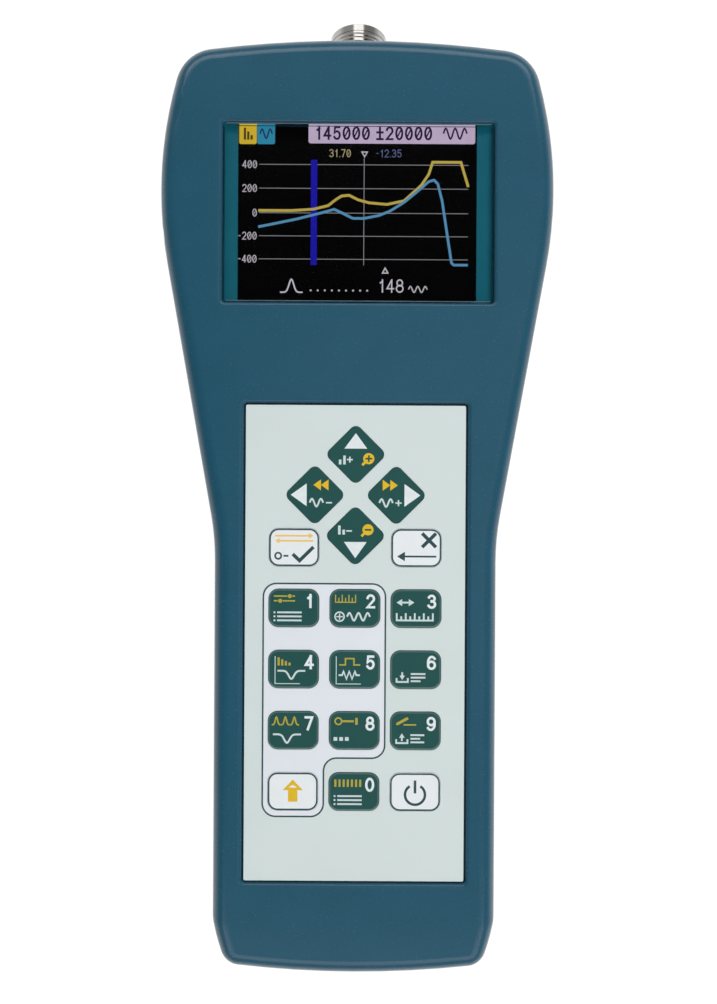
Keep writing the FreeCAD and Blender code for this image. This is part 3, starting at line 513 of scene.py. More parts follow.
class Shader:
    """A material with one Principled shader, and noise in the object's own millimetres."""

    def __init__(self, name, **values):
        self.material = bpy.data.materials.new(name)
        self.material.use_nodes = True
        self.tree = self.material.node_tree
        self.main = fill(self.tree.nodes["Principled BSDF"], **values)

    def add(self, kind, **values):
        """Adds a node with values for its inputs."""
        return fill(self.tree.nodes.new(kind), **values)

    def link(self, start, end):
        """Joins two sockets."""
        self.tree.links.new(start, end)

    def place(self):
        """The object's own coordinates."""
        return self.add("ShaderNodeTexCoord").outputs["Object"]

    def noise(self, size, detail=2.0, stretch=(1, 1, 1)):
        """Noise with blotches of a size in millimetres, stretched along the axes."""
        scale = self.add("ShaderNodeMapping", Scale=[share / (size * MM) for share in stretch])
        self.link(self.place(), scale.inputs["Vector"])
        noise = self.add("ShaderNodeTexNoise", Scale=1.0, Detail=detail)
        self.link(scale.outputs["Vector"], noise.inputs["Vector"])
        return noise.outputs["Fac"]

    def spread(self, value, low, high):
        """Maps noise, most of which lies between 0.3 and 0.7, to a range of values."""
        ranged = self.add("ShaderNodeMapRange", From_Min=0.3, From_Max=0.7, To_Min=low, To_Max=high)
        self.link(value, ranged.inputs["Value"])
        return ranged.outputs["Result"]

    def blend(self, socket, first, second, size):
        """Gives a socket blotches of a size in millimetres, in two colours."""
        mix = self.add("ShaderNodeMix")
        mix.data_type = "RGBA"
        fill(mix, A=first, B=second)
        self.link(self.spread(self.noise(size), 0, 1), mix.inputs["Factor"])
        self.link(mix.outputs["Result"], self.main.inputs[socket])

    def mottle(self, colour, amount, size):
        """A base colour that is a little lighter and darker in places."""
        self.blend("Base Color", shade(colour, 1 - amount), shade(colour, 1 + amount), size)

    def roughen(self, low, high, value):
        """Roughness between two values, by noise."""
        self.link(self.spread(value, low, high), self.main.inputs["Roughness"])

    def bump(self, value, depth, strength=1.0):
        """Bumps of a depth in millimetres, by noise."""
        bump = self.add("ShaderNodeBump", Strength=strength, Distance=depth * MM)
        self.link(value, bump.inputs["Height"])
        self.link(bump.outputs["Normal"], self.main.inputs["Normal"])

    def switch(self, value, first, second):
        """Shows the first shader where a value is 0, and the second where it is 1."""
        mix = self.add("ShaderNodeMixShader")
        for start, end in zip((value, first.outputs[0], second.outputs[0]), mix.inputs):
            self.link(start, end)
        self.link(mix.outputs[0], self.tree.nodes["Material Output"].inputs["Surface"])


def moulded(name, colour, roughness, grain=0.5, depth=0.012, amount=0.05, blotch=9.0, spread=0.06):
    """Moulded plastic, film or rubber with a fine grain."""
    shader = Shader(name)
    shader.mottle(colour, amount, blotch)
    fine = shader.noise(grain, detail=3.0)
    shader.roughen(roughness - spread, roughness + spread, fine)
    shader.bump(fine, depth)
    return shader.material


def metal(name, colour, roughness, marks=(1, 1, 1), size=0.25, depth=0.002, amount=0.06):
    """Bare or plated metal with fine marks that run across the axis of the largest stretch."""
    shader = Shader(name, Metallic=1.0)
    shader.mottle(colour, amount, 4.0)
    scratches = shader.noise(size, stretch=marks)
    shader.roughen(roughness * 0.85, roughness * 1.15, scratches)
    shader.bump(scratches, depth)
    return shader.material


def ink(name, colour):
    """Printed ink with a slightly uneven gloss."""
    shader = Shader(name)
    shader.mottle(colour, 0.03, 1.2)
    shader.roughen(0.42, 0.58, shader.noise(0.4))
    return shader.material


def glow(name, colour):
    """A colour that the display shows, a little uneven as a backlight is."""
    shader = Shader(name, Roughness=0.2, Specular_IOR_Level=0.15, Emission_Strength=1.0,
                    Base_Color=grey(0.004))
    shader.blend("Emission Color", shade(colour, 0.92), colour, 3.0)
    return shader.material


def clear_plastic(name):
    """The lens: clear, and lamps shine through it."""
    shader = Shader(name, Transmission_Weight=1.0, IOR=1.49, Base_Color=(0.97, 0.985, 0.99, 1))
    shader.roughen(0.0, 0.03, shader.noise(12.0))
    through = shader.add("ShaderNodeBsdfTransparent", Color=(0.9, 0.92, 0.93, 1))
    path = shader.add("ShaderNodeLightPath")
    shader.switch(path.outputs["Is Shadow Ray"], shader.main, through)
    return shader.material


def display_black(name):
    """The display's dark glass, with a trace of its backlight."""
    shader = Shader(name, Specular_IOR_Level=0.15, Emission_Strength=1.0,
                    Emission_Color=(0.0003, 0.0003, 0.00035, 1))
    shader.mottle((0.0004, 0.0004, 0.00045), 0.2, 8.0)
    shader.roughen(0.18, 0.22, shader.noise(6.0))
    return shader.material


def board(name):
    """Green solder resist with the copper tracks showing faintly through."""
    shader = Shader(name)
    tracks = shader.add("ShaderNodeTexBrick", Scale=1 / (TRACK_PITCH * MM), Mortar_Size=0.05,
                        Color1=(0.010, 0.120, 0.045, 1), Color2=(0.012, 0.135, 0.050, 1),
                        Mortar=(0.022, 0.190, 0.070, 1))
    shader.link(shader.place(), tracks.inputs["Vector"])
    shader.link(tracks.outputs["Color"], shader.main.inputs["Base Color"])
    shader.roughen(0.28, 0.36, shader.noise(1.5))
    shader.bump(tracks.outputs["Fac"], 0.03, 0.5)
    return shader.material


def floor_paint(name):
    """White where it is seen, with the object's shadow on it, and grey to all other rays."""
    shader = Shader(name)
    shader.tree.nodes.remove(shader.main)
    path = shader.add("ShaderNodeLightPath")
    seen = path.outputs["Is Camera Ray"]
    for ray in ("Is Glossy Ray", "Is Transmission Ray"):
        either = shader.add("ShaderNodeMath")
        either.operation = "MAXIMUM"
        shader.link(seen, either.inputs[0])
        shader.link(path.outputs[ray], either.inputs[1])
        seen = either.outputs[0]
    white = shader.add("ShaderNodeEmission", Strength=0.96)
    shadow = shader.add("ShaderNodeBsdfDiffuse", Color=grey(0.1))
    both = shader.add("ShaderNodeAddShader")
    shader.link(white.outputs[0], both.inputs[0])
    shader.link(shadow.outputs[0], both.inputs[1])
    shader.switch(seen, shader.add("ShaderNodeBsdfDiffuse", Color=grey(0.75)), both)
    return shader.material


# Each colour is given as 0 to 255. Plastic, film, rubber and metal also have a roughness, and
# what differs from the usual grain or marks.
MOULDED = {
    "case_plastic": ((37, 87, 109), 0.25, dict(grain=0.55, depth=0.003, spread=0.03, amount=0.03)),
    "gasket_rubber": ((26, 28, 30), 0.75, {}),
    "tape_teal": ((22, 114, 132), 0.6, dict(depth=0.003)),
    "backlight_white": ((232, 232, 228), 0.5, {}),
    "carrier_black": ((30, 31, 33), 0.55, {}),
    "ribbon_amber": ((176, 112, 38), 0.4, dict(depth=0.004)),
    "overlay_film": ((218, 230, 229), 0.5, dict(grain=0.3, depth=0.003, amount=0.012, blotch=14.0)),
    "spacer_film": ((220, 224, 222), 0.6, dict(depth=0.003)),
    "circuit_film": ((150, 158, 158), 0.45, dict(depth=0.003)),
    "key_green": ((28, 80, 77), 0.46, dict(grain=0.3, depth=0.003, amount=0.03, blotch=3.0)),
    "key_white": ((239, 244, 247), 0.46, dict(grain=0.3, depth=0.003, amount=0.01, blotch=3.0)),
    "connector_beige": ((214, 204, 176), 0.5, {}),
    "chip_black": ((28, 28, 30), 0.55, {}),
    "usb_plastic": ((226, 226, 222), 0.45, {}),
    "insulator_white": ((236, 236, 232), 0.4, dict(depth=0.004)),
    "cell_jacket": ((44, 46, 50), 0.3, dict(depth=0.002)),
    "lead_red": ((170, 22, 24), 0.45, {}),
    "lead_black": ((24, 24, 26), 0.45, {}),
    "zone_film": ((232, 238, 244), 0.5, dict(grain=0.3, depth=0.003, amount=0.01)),
    # Painted light on the lens's sides: a pale painted highlight, and dark painted shade of the
    # groove
    "cut_edge": ((128, 150, 166), 0.6, dict(depth=0.004)),
    "cut_edge_dark": ((14, 66, 78), 0.6, dict(depth=0.004)),
}
METALS = {
    "screw_steel": ((150, 150, 150), 0.35, {}),
    "insert_brass": ((205, 170, 95), 0.35, {}),
    "capacitor_can": ((212, 212, 214), 0.3, dict(marks=(1, 1, 8))),
    "tinned_steel": ((200, 200, 196), 0.3, dict(marks=(1, 12, 1))),
    "nickel_plate": ((180, 178, 174), 0.17, dict(marks=(1, 3, 1), size=1.0, depth=0.0008,
                                                 amount=0.03)),
    "contact_gold": ((226, 184, 92), 0.2, {}),
    "coax_copper": ((200, 140, 100), 0.35, dict(marks=(4, 4, 1))),
    "contact_steel": ((205, 204, 198), 0.3, {}),
}
INKS = {
    "dark": (45, 75, 80), "white": (208, 224, 224), "digit": (232, 240, 242),
    "yellow": (230, 190, 36), "soft_yellow": (180, 168, 62), "pale_yellow": (247, 205, 110),
    # The next two are no print: a painted highlight along a number key's rounded edge, and a
    # brighter painted highlight along its lower side
    "key_rim": (78, 108, 105), "key_rim_low": (98, 124, 121),
}
DISPLAY_COLOURS = {
    "lit_white": (196, 190, 200), "lit_grey": (140, 138, 144),
    "lit_yellow": (207, 175, 50), "lit_yellow_line": (186, 164, 76),
    "lit_blue": (46, 131, 163), "lit_blue_line": (84, 140, 178),
    "lit_pale_yellow": (176, 163, 122), "lit_pale_blue": (92, 103, 142),
    "lit_lilac": (190, 171, 197), "lit_deep_blue": (24, 17, 158), "lit_dark": (36, 20, 62),
    "lit_brown": (80, 62, 24), "lit_navy": (24, 52, 92),
}


def make_materials():
    """Every material, by the record's slot or by the name of the print's colour."""
    made = {"lens_clear": clear_plastic("lens_clear"), "lcd_glass": display_black("lcd_glass"),
            "board_green": board("board_green"), "floor": floor_paint("floor")}
    for make, table in ((moulded, MOULDED), (metal, METALS)):
        for name, (colour, roughness, differences) in table.items():
            made[name] = make(name, linear(*colour), roughness, **differences)
    for name, colour in INKS.items():
        made[name] = ink("print_" + name, linear(*colour))
    for name, colour in DISPLAY_COLOURS.items():
        made[name] = glow(name, linear(*colour))
    return made


MATERIALS = make_materials()


def dress_nodes():
    """Gives every CAD node the material of its slot."""
    for part in frame["record"]["subparts"]:
        node = frame["nodes"][part["node"]]
        for holder in node.material_slots:
            holder.material = MATERIALS[part["material_slot"]]


# -------- keypad print

# The lines inside a key's edge: the printed one on a pale key, the painted highlight of the rounded
# edge on a number's key, and the brighter painted highlight along its lower side, which is a
# stretch of the outline
FRAME_START = 0.06
PALE_FRAME_END = 0.46
NUMBER_HIGHLIGHT_END = 0.38
LOWER_HIGHLIGHT_INSET = 0.24
LOWER_HIGHLIGHT_WEIGHT = 0.34
LOWER_SIDE = slice(2, 12)

# The number in a key's upper right corner: its place, and its height, width and line weight
NUMBER_PLACE = (3.87, 1.75)
NUMBER_STYLE = (3.5, 2.25, 0.6)

# The whiter field: how far it reaches past the keys, its corners, half its line and its holes' gap
ZONE_LEFT = 7.5
ZONE_TOP = 6.0
ZONE_BOTTOM = 6.2
ZONE_STEP = 0.7
ZONE_RADIUS = 3.2
ZONE_LINE_HALF = 0.2
ZONE_GAP = 0.1
ZONE_KEYS = ("key_1", "key_2", "key_4", "key_5", "key_7", "key_8", "key_function")

# Rows that several drawings share
LOWER_ROW = -2.05
WAVE_ROW = -1.9


def double_triangles(side):
    """Two yellow triangles behind each other that point to one side."""
    return [("yellow", polygon((side * back, 3.8), (side * tip, 2.45), (side * back, 1.1)))
            for back, tip in ((-1.5, 0.35), (-3.35, -1.5))]


AXES = line([(-4.5, 3.2), (-4.5, -3.55), (1.6, -3.55)], FINE)
LISTING = listing((-1.5, LOWER_ROW), 6.9, 2.4, BOLD)

# What is drawn on each key, from its middle: colour, shapes, and the layer if it isn't the first
KEY_DRAWINGS = {
    "up": [("digit", polygon((0, 5.2), (-2.8, 1.4), (2.8, 1.4))),
           ("white", columns((-3.3, -1.4), 1.7, (1.2, 2.2))),
           ("white", cross((-1.45, -1.3), 0.72)),
           ("yellow", magnifier((3.2, -1.05))),
           ("key_green", cross((3.2, -1.05), 0.85, 0.42), 1)],
    "down": [("digit", polygon((0, -5.5), (2.8, -1.5), (-2.8, -1.5))),
             ("white", columns((-3.4, 1.4), 1.7, (2.2, 1.2))),
             ("white", line([(-2.25, 1.2), (-0.85, 1.2)])),
             ("yellow", magnifier((3.1, 1.5))),
             ("key_green", line([(2.3, 1.5), (3.9, 1.5)], 0.42), 1)],
    "left": [("digit", polygon((-5.9, 0), (-2.0, -2.8), (-2.0, 2.8))),
             *double_triangles(-1),
             ("white", wave((0.4, WAVE_ROW), 3.3, 1.9, 1.5, BOLD)),
             ("white", line([(2.75, WAVE_ROW), (4.25, WAVE_ROW)]))],
    "right": [("digit", polygon((5.9, 0), (2.0, 2.8), (2.0, -2.8))),
              *double_triangles(1),
              ("white", wave((-2.5, WAVE_ROW), 3.3, 1.9, 1.5, BOLD)),
              ("white", cross((0.55, WAVE_ROW), 0.75))],
    "ok": [("pale_yellow", arrow((-4.7, 2.85), (4.7, 2.85), 1.1, BOLD)),
           ("pale_yellow", arrow((4.7, 1.6), (-4.7, 1.6), 1.1, BOLD)),
           ("dark", ring((-3.9, -2.1), 0.75, BOLD)),
           ("dark", line([(-2.6, -2.1), (-1.4, -2.1)], BOLD)),
           ("dark", line([(-0.35, -1.65), (1.35, -3.25), (4.75, 0.1)], 0.85))],
    "cancel": [("dark", cross((3.1, 1.9), 2.4, 0.85, 45)),
               ("dark", arrow((4.9, -2.1), (-4.7, -2.1), 1.9, BOLD))],
    "function": [("yellow", polygon((0, 2.9), (-2.5, 0.3), (-1.15, 0.3), (-1.15, -2.5),
                                    (1.15, -2.5), (1.15, 0.3), (2.5, 0.3))),
                 ("key_white", polygon((0, 1.65), (-1.1, 0.95), (1.1, 0.95)), 1)],
    "power": [("dark", line(arc((0, -0.65), 2.45, 122, 418, 40), HEAVY)
               + line([(0, -0.3), (0, 2.85)], HEAVY))],
    "0": [("soft_yellow", columns((-1.5, 2.1), 6.6, (1.8,) * 7, share=0.5)),
          ("white", LISTING)],
    "1": [("soft_yellow", sliders((-2.3, 2.35), 5.2, 2.1)),
          ("white", LISTING)],
    "2": [("soft_yellow", ruler((-2.3, 2.35), 5.2, 2.0, 7, THIN)),
          ("white", target((-3.75, LOWER_ROW), 1.3)),
          ("white", wave((0.9, LOWER_ROW), 5.6, 1.9, 2.5, BOLD))],
    "3": [("white", arrow((-2.6, 1.5), (-4.8, 1.5), 1.4, BOLD)
           + arrow((-2.6, 1.5), (-0.4, 1.5), 1.4, BOLD)),
          ("white", ruler((-0.3, -2.1), 9.3, 2.0, 9, BOLD))],
    "4": [("white", AXES),
          ("soft_yellow", columns((-2.3, 1.9), 3.2, (2.0, 1.5, 1.1, 0.7))),
          ("white", hump((-0.5, -1.4), 6.8, -2.0, weight=BOLD))],
    "5": [("white", AXES),
          ("soft_yellow", line([(-3.8, 1.13), (-2.24, 1.13), (-2.24, 2.67), (-0.16, 2.67),
                                (-0.16, 1.13), (1.4, 1.13)])),
          ("white", zigzag((-1.3, -1.4), 5.2, 1.9, 5, BOLD))],
    "6": [("white", tray((-3.3, WAVE_ROW), 3.2, 2.6, True, BOLD)),
          ("white", rows((0.6, WAVE_ROW), (3.6, 3.6, 2.4), 2.2, BOLD))],
    "7": [("soft_yellow", hump((x, 2.3), 2.3, 1.9, 9)) for x in (-4.1, -1.9, 0.3)]
         + [("white", hump((-1.5, LOWER_ROW), 6.9, -2.1, weight=BOLD))],
    "8": [("soft_yellow", ring((-3.9, 2.3), 0.8)),
          ("soft_yellow", line([(-2.9, 2.3), (-0.1, 2.3)], 0.5)),
          ("soft_yellow", line([(0.55, 3.15), (0.55, 1.45)], 0.6)),
          ("white", columns((-3.2, LOWER_ROW), 3.7, (0.9,) * 3, share=9 / 14))],
    "9": [("soft_yellow", polygon((-4.8, 1.45), (-4.2, 1.45), (-1.6, 2.9), (-2.0, 3.45),
                                  (-4.6, 2.0))),
          ("soft_yellow", line([(-2.9, 1.5), (0.2, 1.5)])),
          ("white", tray((-3.3, WAVE_ROW), 3.2, 2.6, False, BOLD)),
          ("white", rows((0.5, WAVE_ROW), (3.4, 2.4, 3.4), 2.2, BOLD))],
}


def middle_of(node):
    """The middle of a CAD node in the plan, in millimetres."""
    low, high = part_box(node)
    return ((low.x + high.x) / 2 / MM, (low.y + high.y) / 2 / MM)


def top_of(node):
    """The height of a CAD node's top, in millimetres."""
    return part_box(node)[1].z / MM


def key_outline(name, inset, centre=(0, 0)):
    """The outline of a key's cap, moved inward."""
    if name in ARROWS:
        return diamond(centre, ARROW_SIDE, ARROW_RADIUS, inset)
    return block(centre, KEY_WIDTH, KEY_HEIGHT, KEY_RADIUS, inset)


def key_edge_print_and_highlight(sheet, name):
    """The line along a key's edge: dark print on a pale key, and on a number's key a painted
    highlight that is brighter along the lower side.
    """
    start = key_outline(name, FRAME_START)
    if name in PALE_KEYS:
        sheet.draw("dark", [[start, key_outline(name, PALE_FRAME_END)]])
    elif name not in ARROWS:
        # On a number's key: a painted highlight round its rounded edge, and a brighter painted
        # highlight along its lower side
        sheet.draw("key_rim", [[start, key_outline(name, NUMBER_HIGHLIGHT_END)]])
        lower = key_outline(name, LOWER_HIGHLIGHT_INSET)[LOWER_SIDE]
        sheet.draw("key_rim_low", line(lower, LOWER_HIGHLIGHT_WEIGHT), layer=1)


def print_keys():
    """The print on every key, with the painted highlights on the number keys' edges, one piece to a
    key.
    """
    for key, drawing in KEY_DRAWINGS.items():
        name = "key_" + key
        sheet = Print(top_of(name), middle_of(name))
        key_edge_print_and_highlight(sheet, name)
        for colour, shapes, *layer in drawing:
            sheet.draw(colour, shapes, *layer)
        if key.isdigit():
            sheet.draw("digit", digits(key, NUMBER_PLACE, NUMBER_STYLE))
        sheet.finish("print_" + name, name)


def print_zone():
    """The whiter field and its outline round the keys that the function key changes."""
    right = (middle_of("key_2")[0] + middle_of("key_3")[0]) / 2
    left = middle_of("key_1")[0] - ZONE_LEFT
    inner = (middle_of("key_function")[0] + middle_of("key_0")[0]) / 2
    top = middle_of("key_1")[1] + ZONE_TOP
    step = (middle_of("key_8")[1] + middle_of("key_0")[1]) / 2 + ZONE_STEP
    bottom = middle_of("key_function")[1] - ZONE_BOTTOM
    corners = [(left, bottom), (inner, bottom), (inner, step), (right, step),
               (right, top), (left, top)]
    outer, field = [rounded(corners, ZONE_RADIUS, side * ZONE_LINE_HALF, 10) for side in (-1, 1)]
    holes = [key_outline(name, -ZONE_GAP, middle_of(name)) for name in ZONE_KEYS]
    sheet = Print(top_of("keypad_overlay"))
    sheet.draw("dark", [[outer, field]])
    sheet.draw("zone_film", [[field] + holes])
    sheet.finish("print_zone", "case")


# -------- display picture
# Places on the display are in its own pixels, from its upper left corner.

DISPLAY_PIXELS = (320, 240)
DISPLAY_PIXEL = 0.1844

# The heading's tabs: colour, ends across, lower end, and the corners' radius in millimetres
HEADING_TABS = (("lit_yellow", (1, 24.5), 30, 0.5), ("lit_blue", (25, 49), 30, 0.5),
                ("lit_lilac", (94, 318), 28.5, 0.6))
HEADING_TOP = 0.5
HEADING_GAP = (49, 94)
HEADING_NUMBERS = (103, 14.5)
HEADING_WAVE = (291, 14.5)

# The bars on the first tab: ends across, and top
TAB_BARS = (((7, 10), 8), ((11.5, 14.5), 13), ((16, 19), 18))
TAB_BARS_FOOT = 24
TAB_WAVE = (37, 16)

GRID_ENDS = (28, 309)
GRID_LEVELS = {"400": 57, "200": 89, "0": 122, "-200": 153, "-400": 184}
SCALE_END = 25
CURSOR = ((169, 48), (169, 192))
MARKED_BAND = ((97.5, 106), (50.5, 192))
YELLOW_TRACE = ((27, 119), (71, 119), (101, 117), (121, 112), (131, 104), (139, 99), (149, 98),
                (161, 104), (176, 108), (200, 110), (223, 105), (246, 84), (256, 69), (261, 53),
                (299, 53), (309, 86))
BLUE_TRACE = ((27, 141), (47, 137), (80, 130), (115, 121), (129, 117), (140, 122), (154, 129),
              (169, 129), (189, 125), (204, 119), (223, 107), (240, 93), (256, 79), (263, 77),
              (268, 82), (274, 105), (281, 150), (287, 188), (290, 191), (309, 191))

# The hollow markers over and under the graph, each an outline and its hole
MARKERS = ((((164.5, 39), (174.5, 39), (169.5, 47.5)), ((167, 40.6), (172, 40.6), (169.5, 44.8))),
           (((193, 203), (203, 203), (198, 194)), ((195.6, 201.5), (200.4, 201.5), (198, 197.2))))
READINGS = (("lit_pale_yellow", "31.70", (136.5, 41.5)), ("lit_pale_blue", "-12.35", (202, 41.5)))
FOOT_HUMP = (72, 220)
FOOT_DOTS = [(98 + step * 9.5, 226) for step in range(9)]
FOOT_NUMBER = (206, 219.5)
FOOT_WAVE = (242, 224)

# Styles of numbers: height, width and line weight
HEADING_STYLE = (18.5, 10.8, 2.75)
SCALE_STYLE = (10.5, 5.8, 1.0)
READING_STYLE = (10.5, 6.0, 1.05)
FOOT_STYLE = (18.0, 10.6, 1.75)


def on_display(x, y):
    """A place on the display, in millimetres."""
    centre = middle_of("lcd_panel")
    return (centre[0] + (x - DISPLAY_PIXELS[0] / 2) * DISPLAY_PIXEL,
            centre[1] - (y - DISPLAY_PIXELS[1] / 2) * DISPLAY_PIXEL)


def display_box(x, y):
    """A rectangle on the display, between two values across and two down."""
    left, top = on_display(x[0], y[0])
    right, bottom = on_display(x[1], y[1])
    return [[block(((left + right) / 2, (top + bottom) / 2), right - left, top - bottom)]]


def display_tab(x, end, radius):
    """A rectangle that hangs from the display's upper edge, with round lower corners."""
    left, top = on_display(x[0], HEADING_TOP)
    right, bottom = on_display(x[1], end)
    return [[[(right, top), (left, top)] + arc((left + radius, bottom + radius), radius, 180, 270)
             + arc((right - radius, bottom + radius), radius, 270, 360)]]


def display_line(points, width):
    """A line on the display, its width in pixels."""
    return line([on_display(*point) for point in points], width * DISPLAY_PIXEL)


def display_text(sheet, colour, text, place, style, layer=0, align=0.5):
    """Numbers on the display, with slashed noughts."""
    sizes = [size * DISPLAY_PIXEL for size in style]
    sheet.draw(colour, digits(text, on_display(*place), sizes, align, True), layer)


def display_heading(sheet):
    """The two coloured tabs and the lilac heading."""
    for colour, ends, end, radius in HEADING_TABS:
        sheet.draw(colour, display_tab(ends, end, radius))
    bars = [display_box(ends, (top, TAB_BARS_FOOT))[0] for ends, top in TAB_BARS]
    sheet.draw("lit_brown", bars, layer=1)
    sheet.draw("lit_navy", wave(on_display(*TAB_WAVE), 3.0, 2.3, 1.5, MEDIUM), layer=1)
    display_text(sheet, "lit_dark", "145000 ±20000", HEADING_NUMBERS, HEADING_STYLE, 1, 0)
    sheet.draw("lit_dark", wave(on_display(*HEADING_WAVE), 5.8, 2.6, 2.5, 0.42), layer=1)


def display_graph(sheet):
    """The grid with its scale, the cursor, the marked band and the two traces."""
    for value, level in GRID_LEVELS.items():
        sheet.draw("lit_grey", display_line([(end, level) for end in GRID_ENDS], 0.85))
        display_text(sheet, "lit_white", value, (SCALE_END, level), SCALE_STYLE, align=1)
    sheet.draw("lit_grey", display_line(CURSOR, 0.9), layer=1)
    sheet.draw("lit_deep_blue", display_box(*MARKED_BAND), layer=2)
    sheet.draw("lit_yellow_line", display_line(YELLOW_TRACE, 3.5), layer=3)
    sheet.draw("lit_blue_line", display_line(BLUE_TRACE, 3.4), layer=4)


def display_marks(sheet):
    """The markers, the small numbers over the graph and the line under it."""
    for marker in MARKERS:
        sheet.draw("lit_white", [[[on_display(*point) for point in loop] for loop in marker]])
    for colour, text, place in READINGS:
        display_text(sheet, colour, text, place, READING_STYLE)
    sheet.draw("lit_white", hump(on_display(*FOOT_HUMP), 5.6, 3.2, 12))
    for place in FOOT_DOTS:
        sheet.draw("lit_white", [[block(on_display(*place), 0.42, 0.42)]])
    display_text(sheet, "lit_white", "148", FOOT_NUMBER, FOOT_STYLE)
    sheet.draw("lit_white", wave(on_display(*FOOT_WAVE), 4.6, 1.5, 2.5, 0.26))


def make_display():
    """What the display shows, lit from behind."""
    sheet = Print(top_of("lcd_panel"))
    display_heading(sheet)
    display_graph(sheet)
    display_marks(sheet)
    sheet.finish("display_picture", "case")


# -------- lens edge: painted highlight, painted shade and painted reflection

# The skins in the lens's sides, which carry painted highlight and shade: how far inside they lie,
# how thick and high they are, and how far they stay from the lens's faces and corners
EDGE_INSET = 0.03
EDGE_THICKNESS = 0.06
EDGE_HEIGHT = 0.6
EDGE_MARGIN = 0.1
EDGE_CORNER = 0.5


def add_painted_edge_reflection(mesh, row, span, colours):
    """A painted reflection: strips in the heading's glowing colours and the dark glass between
    them, at the foot of the lens's far edge, narrowed by the camera's height to line up under the
    heading.
    """
    height = (span[0] + span[1]) / 2
    share = (CAMERA_PLACE[2] - height) / (CAMERA_PLACE[2] - top_of("lcd_panel"))
    marks = [(colour, ends) for colour, ends, _, _ in HEADING_TABS] + [("lcd_glass", HEADING_GAP)]
    for colour, ends in marks:
        left, right = [on_display(x, 0)[0] * share for x in ends]
        strip = block(((left + right) / 2, row), right - left, EDGE_THICKNESS)
        add_prism(mesh, [strip], span, len(colours))
        colours.append(colour)


def paint_lens_edge_light():
    """Painted light on the lens's sides, as thin skins just inside them: a pale painted highlight
    along the top and bottom, and dark painted shade of the groove along the left and right.
    """
    low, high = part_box("display_lens")
    centre = middle_of("display_lens")
    half = EDGE_INSET + EDGE_THICKNESS / 2
    reach_x = (high.x - low.x) / 2 / MM - half
    reach_y = (high.y - low.y) / 2 / MM - half
    top = high.z / MM - EDGE_MARGIN
    mesh = bmesh.new()
    for side in (-1, 1):
        # Top and bottom skins: a pale painted highlight of the lens's cut edge
        level = block((centre[0], centre[1] + side * reach_y), 2 * (reach_x - EDGE_CORNER),
                      EDGE_THICKNESS, EDGE_THICKNESS / 3)
        add_prism(mesh, [level], (top - EDGE_HEIGHT, top), 0)
        # Left and right skins: dark painted shade of the groove between lens and case
        upright = block((centre[0] + side * reach_x, centre[1]), EDGE_THICKNESS,
                        2 * (reach_y - EDGE_CORNER), EDGE_THICKNESS / 3)
        add_prism(mesh, [upright], (low.z / MM + EDGE_MARGIN, top), 1)
    colours = ["cut_edge", "cut_edge_dark"]
    foot = (low.z / MM + EDGE_INSET, top - EDGE_HEIGHT - PRINT_STEP)
    # The painted reflection of the display's heading, at the foot of the far edge
    add_painted_edge_reflection(mesh, centre[1] + reach_y, foot, colours)
    finish_piece(mesh, "lens_edge", "case", colours)


# -------- jack

# 24 soft ridges to the inch. The phase is the share of a pitch by which they are turned
THREAD_PITCH = 25.4 / 24
THREAD_CREST = 7.94
THREAD_ROOT = 7.84
THREAD_PHASE = 0.42
RIM_RADIUS = 7.94
RIM_LENGTH = 1.9
RIM_FOOT = 0.05
RIM_CHAMFER = 0.22
MOUTH_RADIUS = 4.3
MOUTH_CHAMFER = 0.5
FLANGE_THICKNESS = 3.0
BARREL_RADIUS = 5.5
END_WALL = 3.5

# Faces round the jack and along each pitch of its thread, and the angle from which edges are sharp
JACK_STEPS = 96
THREAD_STEPS = 12
SHARP_ANGLE = 40


def thread_radius(y, turn, start, end):
    """The radius of the thread's surface at a height along it and a share of a turn."""
    height = (1 + math.cos(math.tau * ((y - start) / THREAD_PITCH + THREAD_PHASE - turn))) / 2
    fade = max(0, min(1, (y - start) / THREAD_PITCH, (end - y) / THREAD_PITCH))
    return THREAD_ROOT + (THREAD_CREST - THREAD_ROOT) * height * fade


def jack_profile(tip, nut_start, nut_end, inner, back, flange):
    """The jack's rings: place along its axis, and radius, or 0 where the thread gives it."""
    rim = tip - RIM_LENGTH
    rings = [(back, BARREL_RADIUS), (inner - FLANGE_THICKNESS, BARREL_RADIUS),
             (inner - FLANGE_THICKNESS, flange), (inner, flange), (inner, THREAD_CREST),
             (nut_start, THREAD_CREST), (nut_start, THREAD_ROOT)]
    count = int((rim - nut_end) / THREAD_PITCH * THREAD_STEPS)
    rings += [(nut_end + (rim - nut_end) * i / count, 0) for i in range(count + 1)]
    rings += [(rim + RIM_FOOT, RIM_RADIUS), (tip - RIM_CHAMFER, RIM_RADIUS),
              (tip, RIM_RADIUS - RIM_CHAMFER), (tip, MOUTH_RADIUS + MOUTH_CHAMFER),
              (tip - MOUTH_CHAMFER, MOUTH_RADIUS), (back, MOUTH_RADIUS)]
    return rings


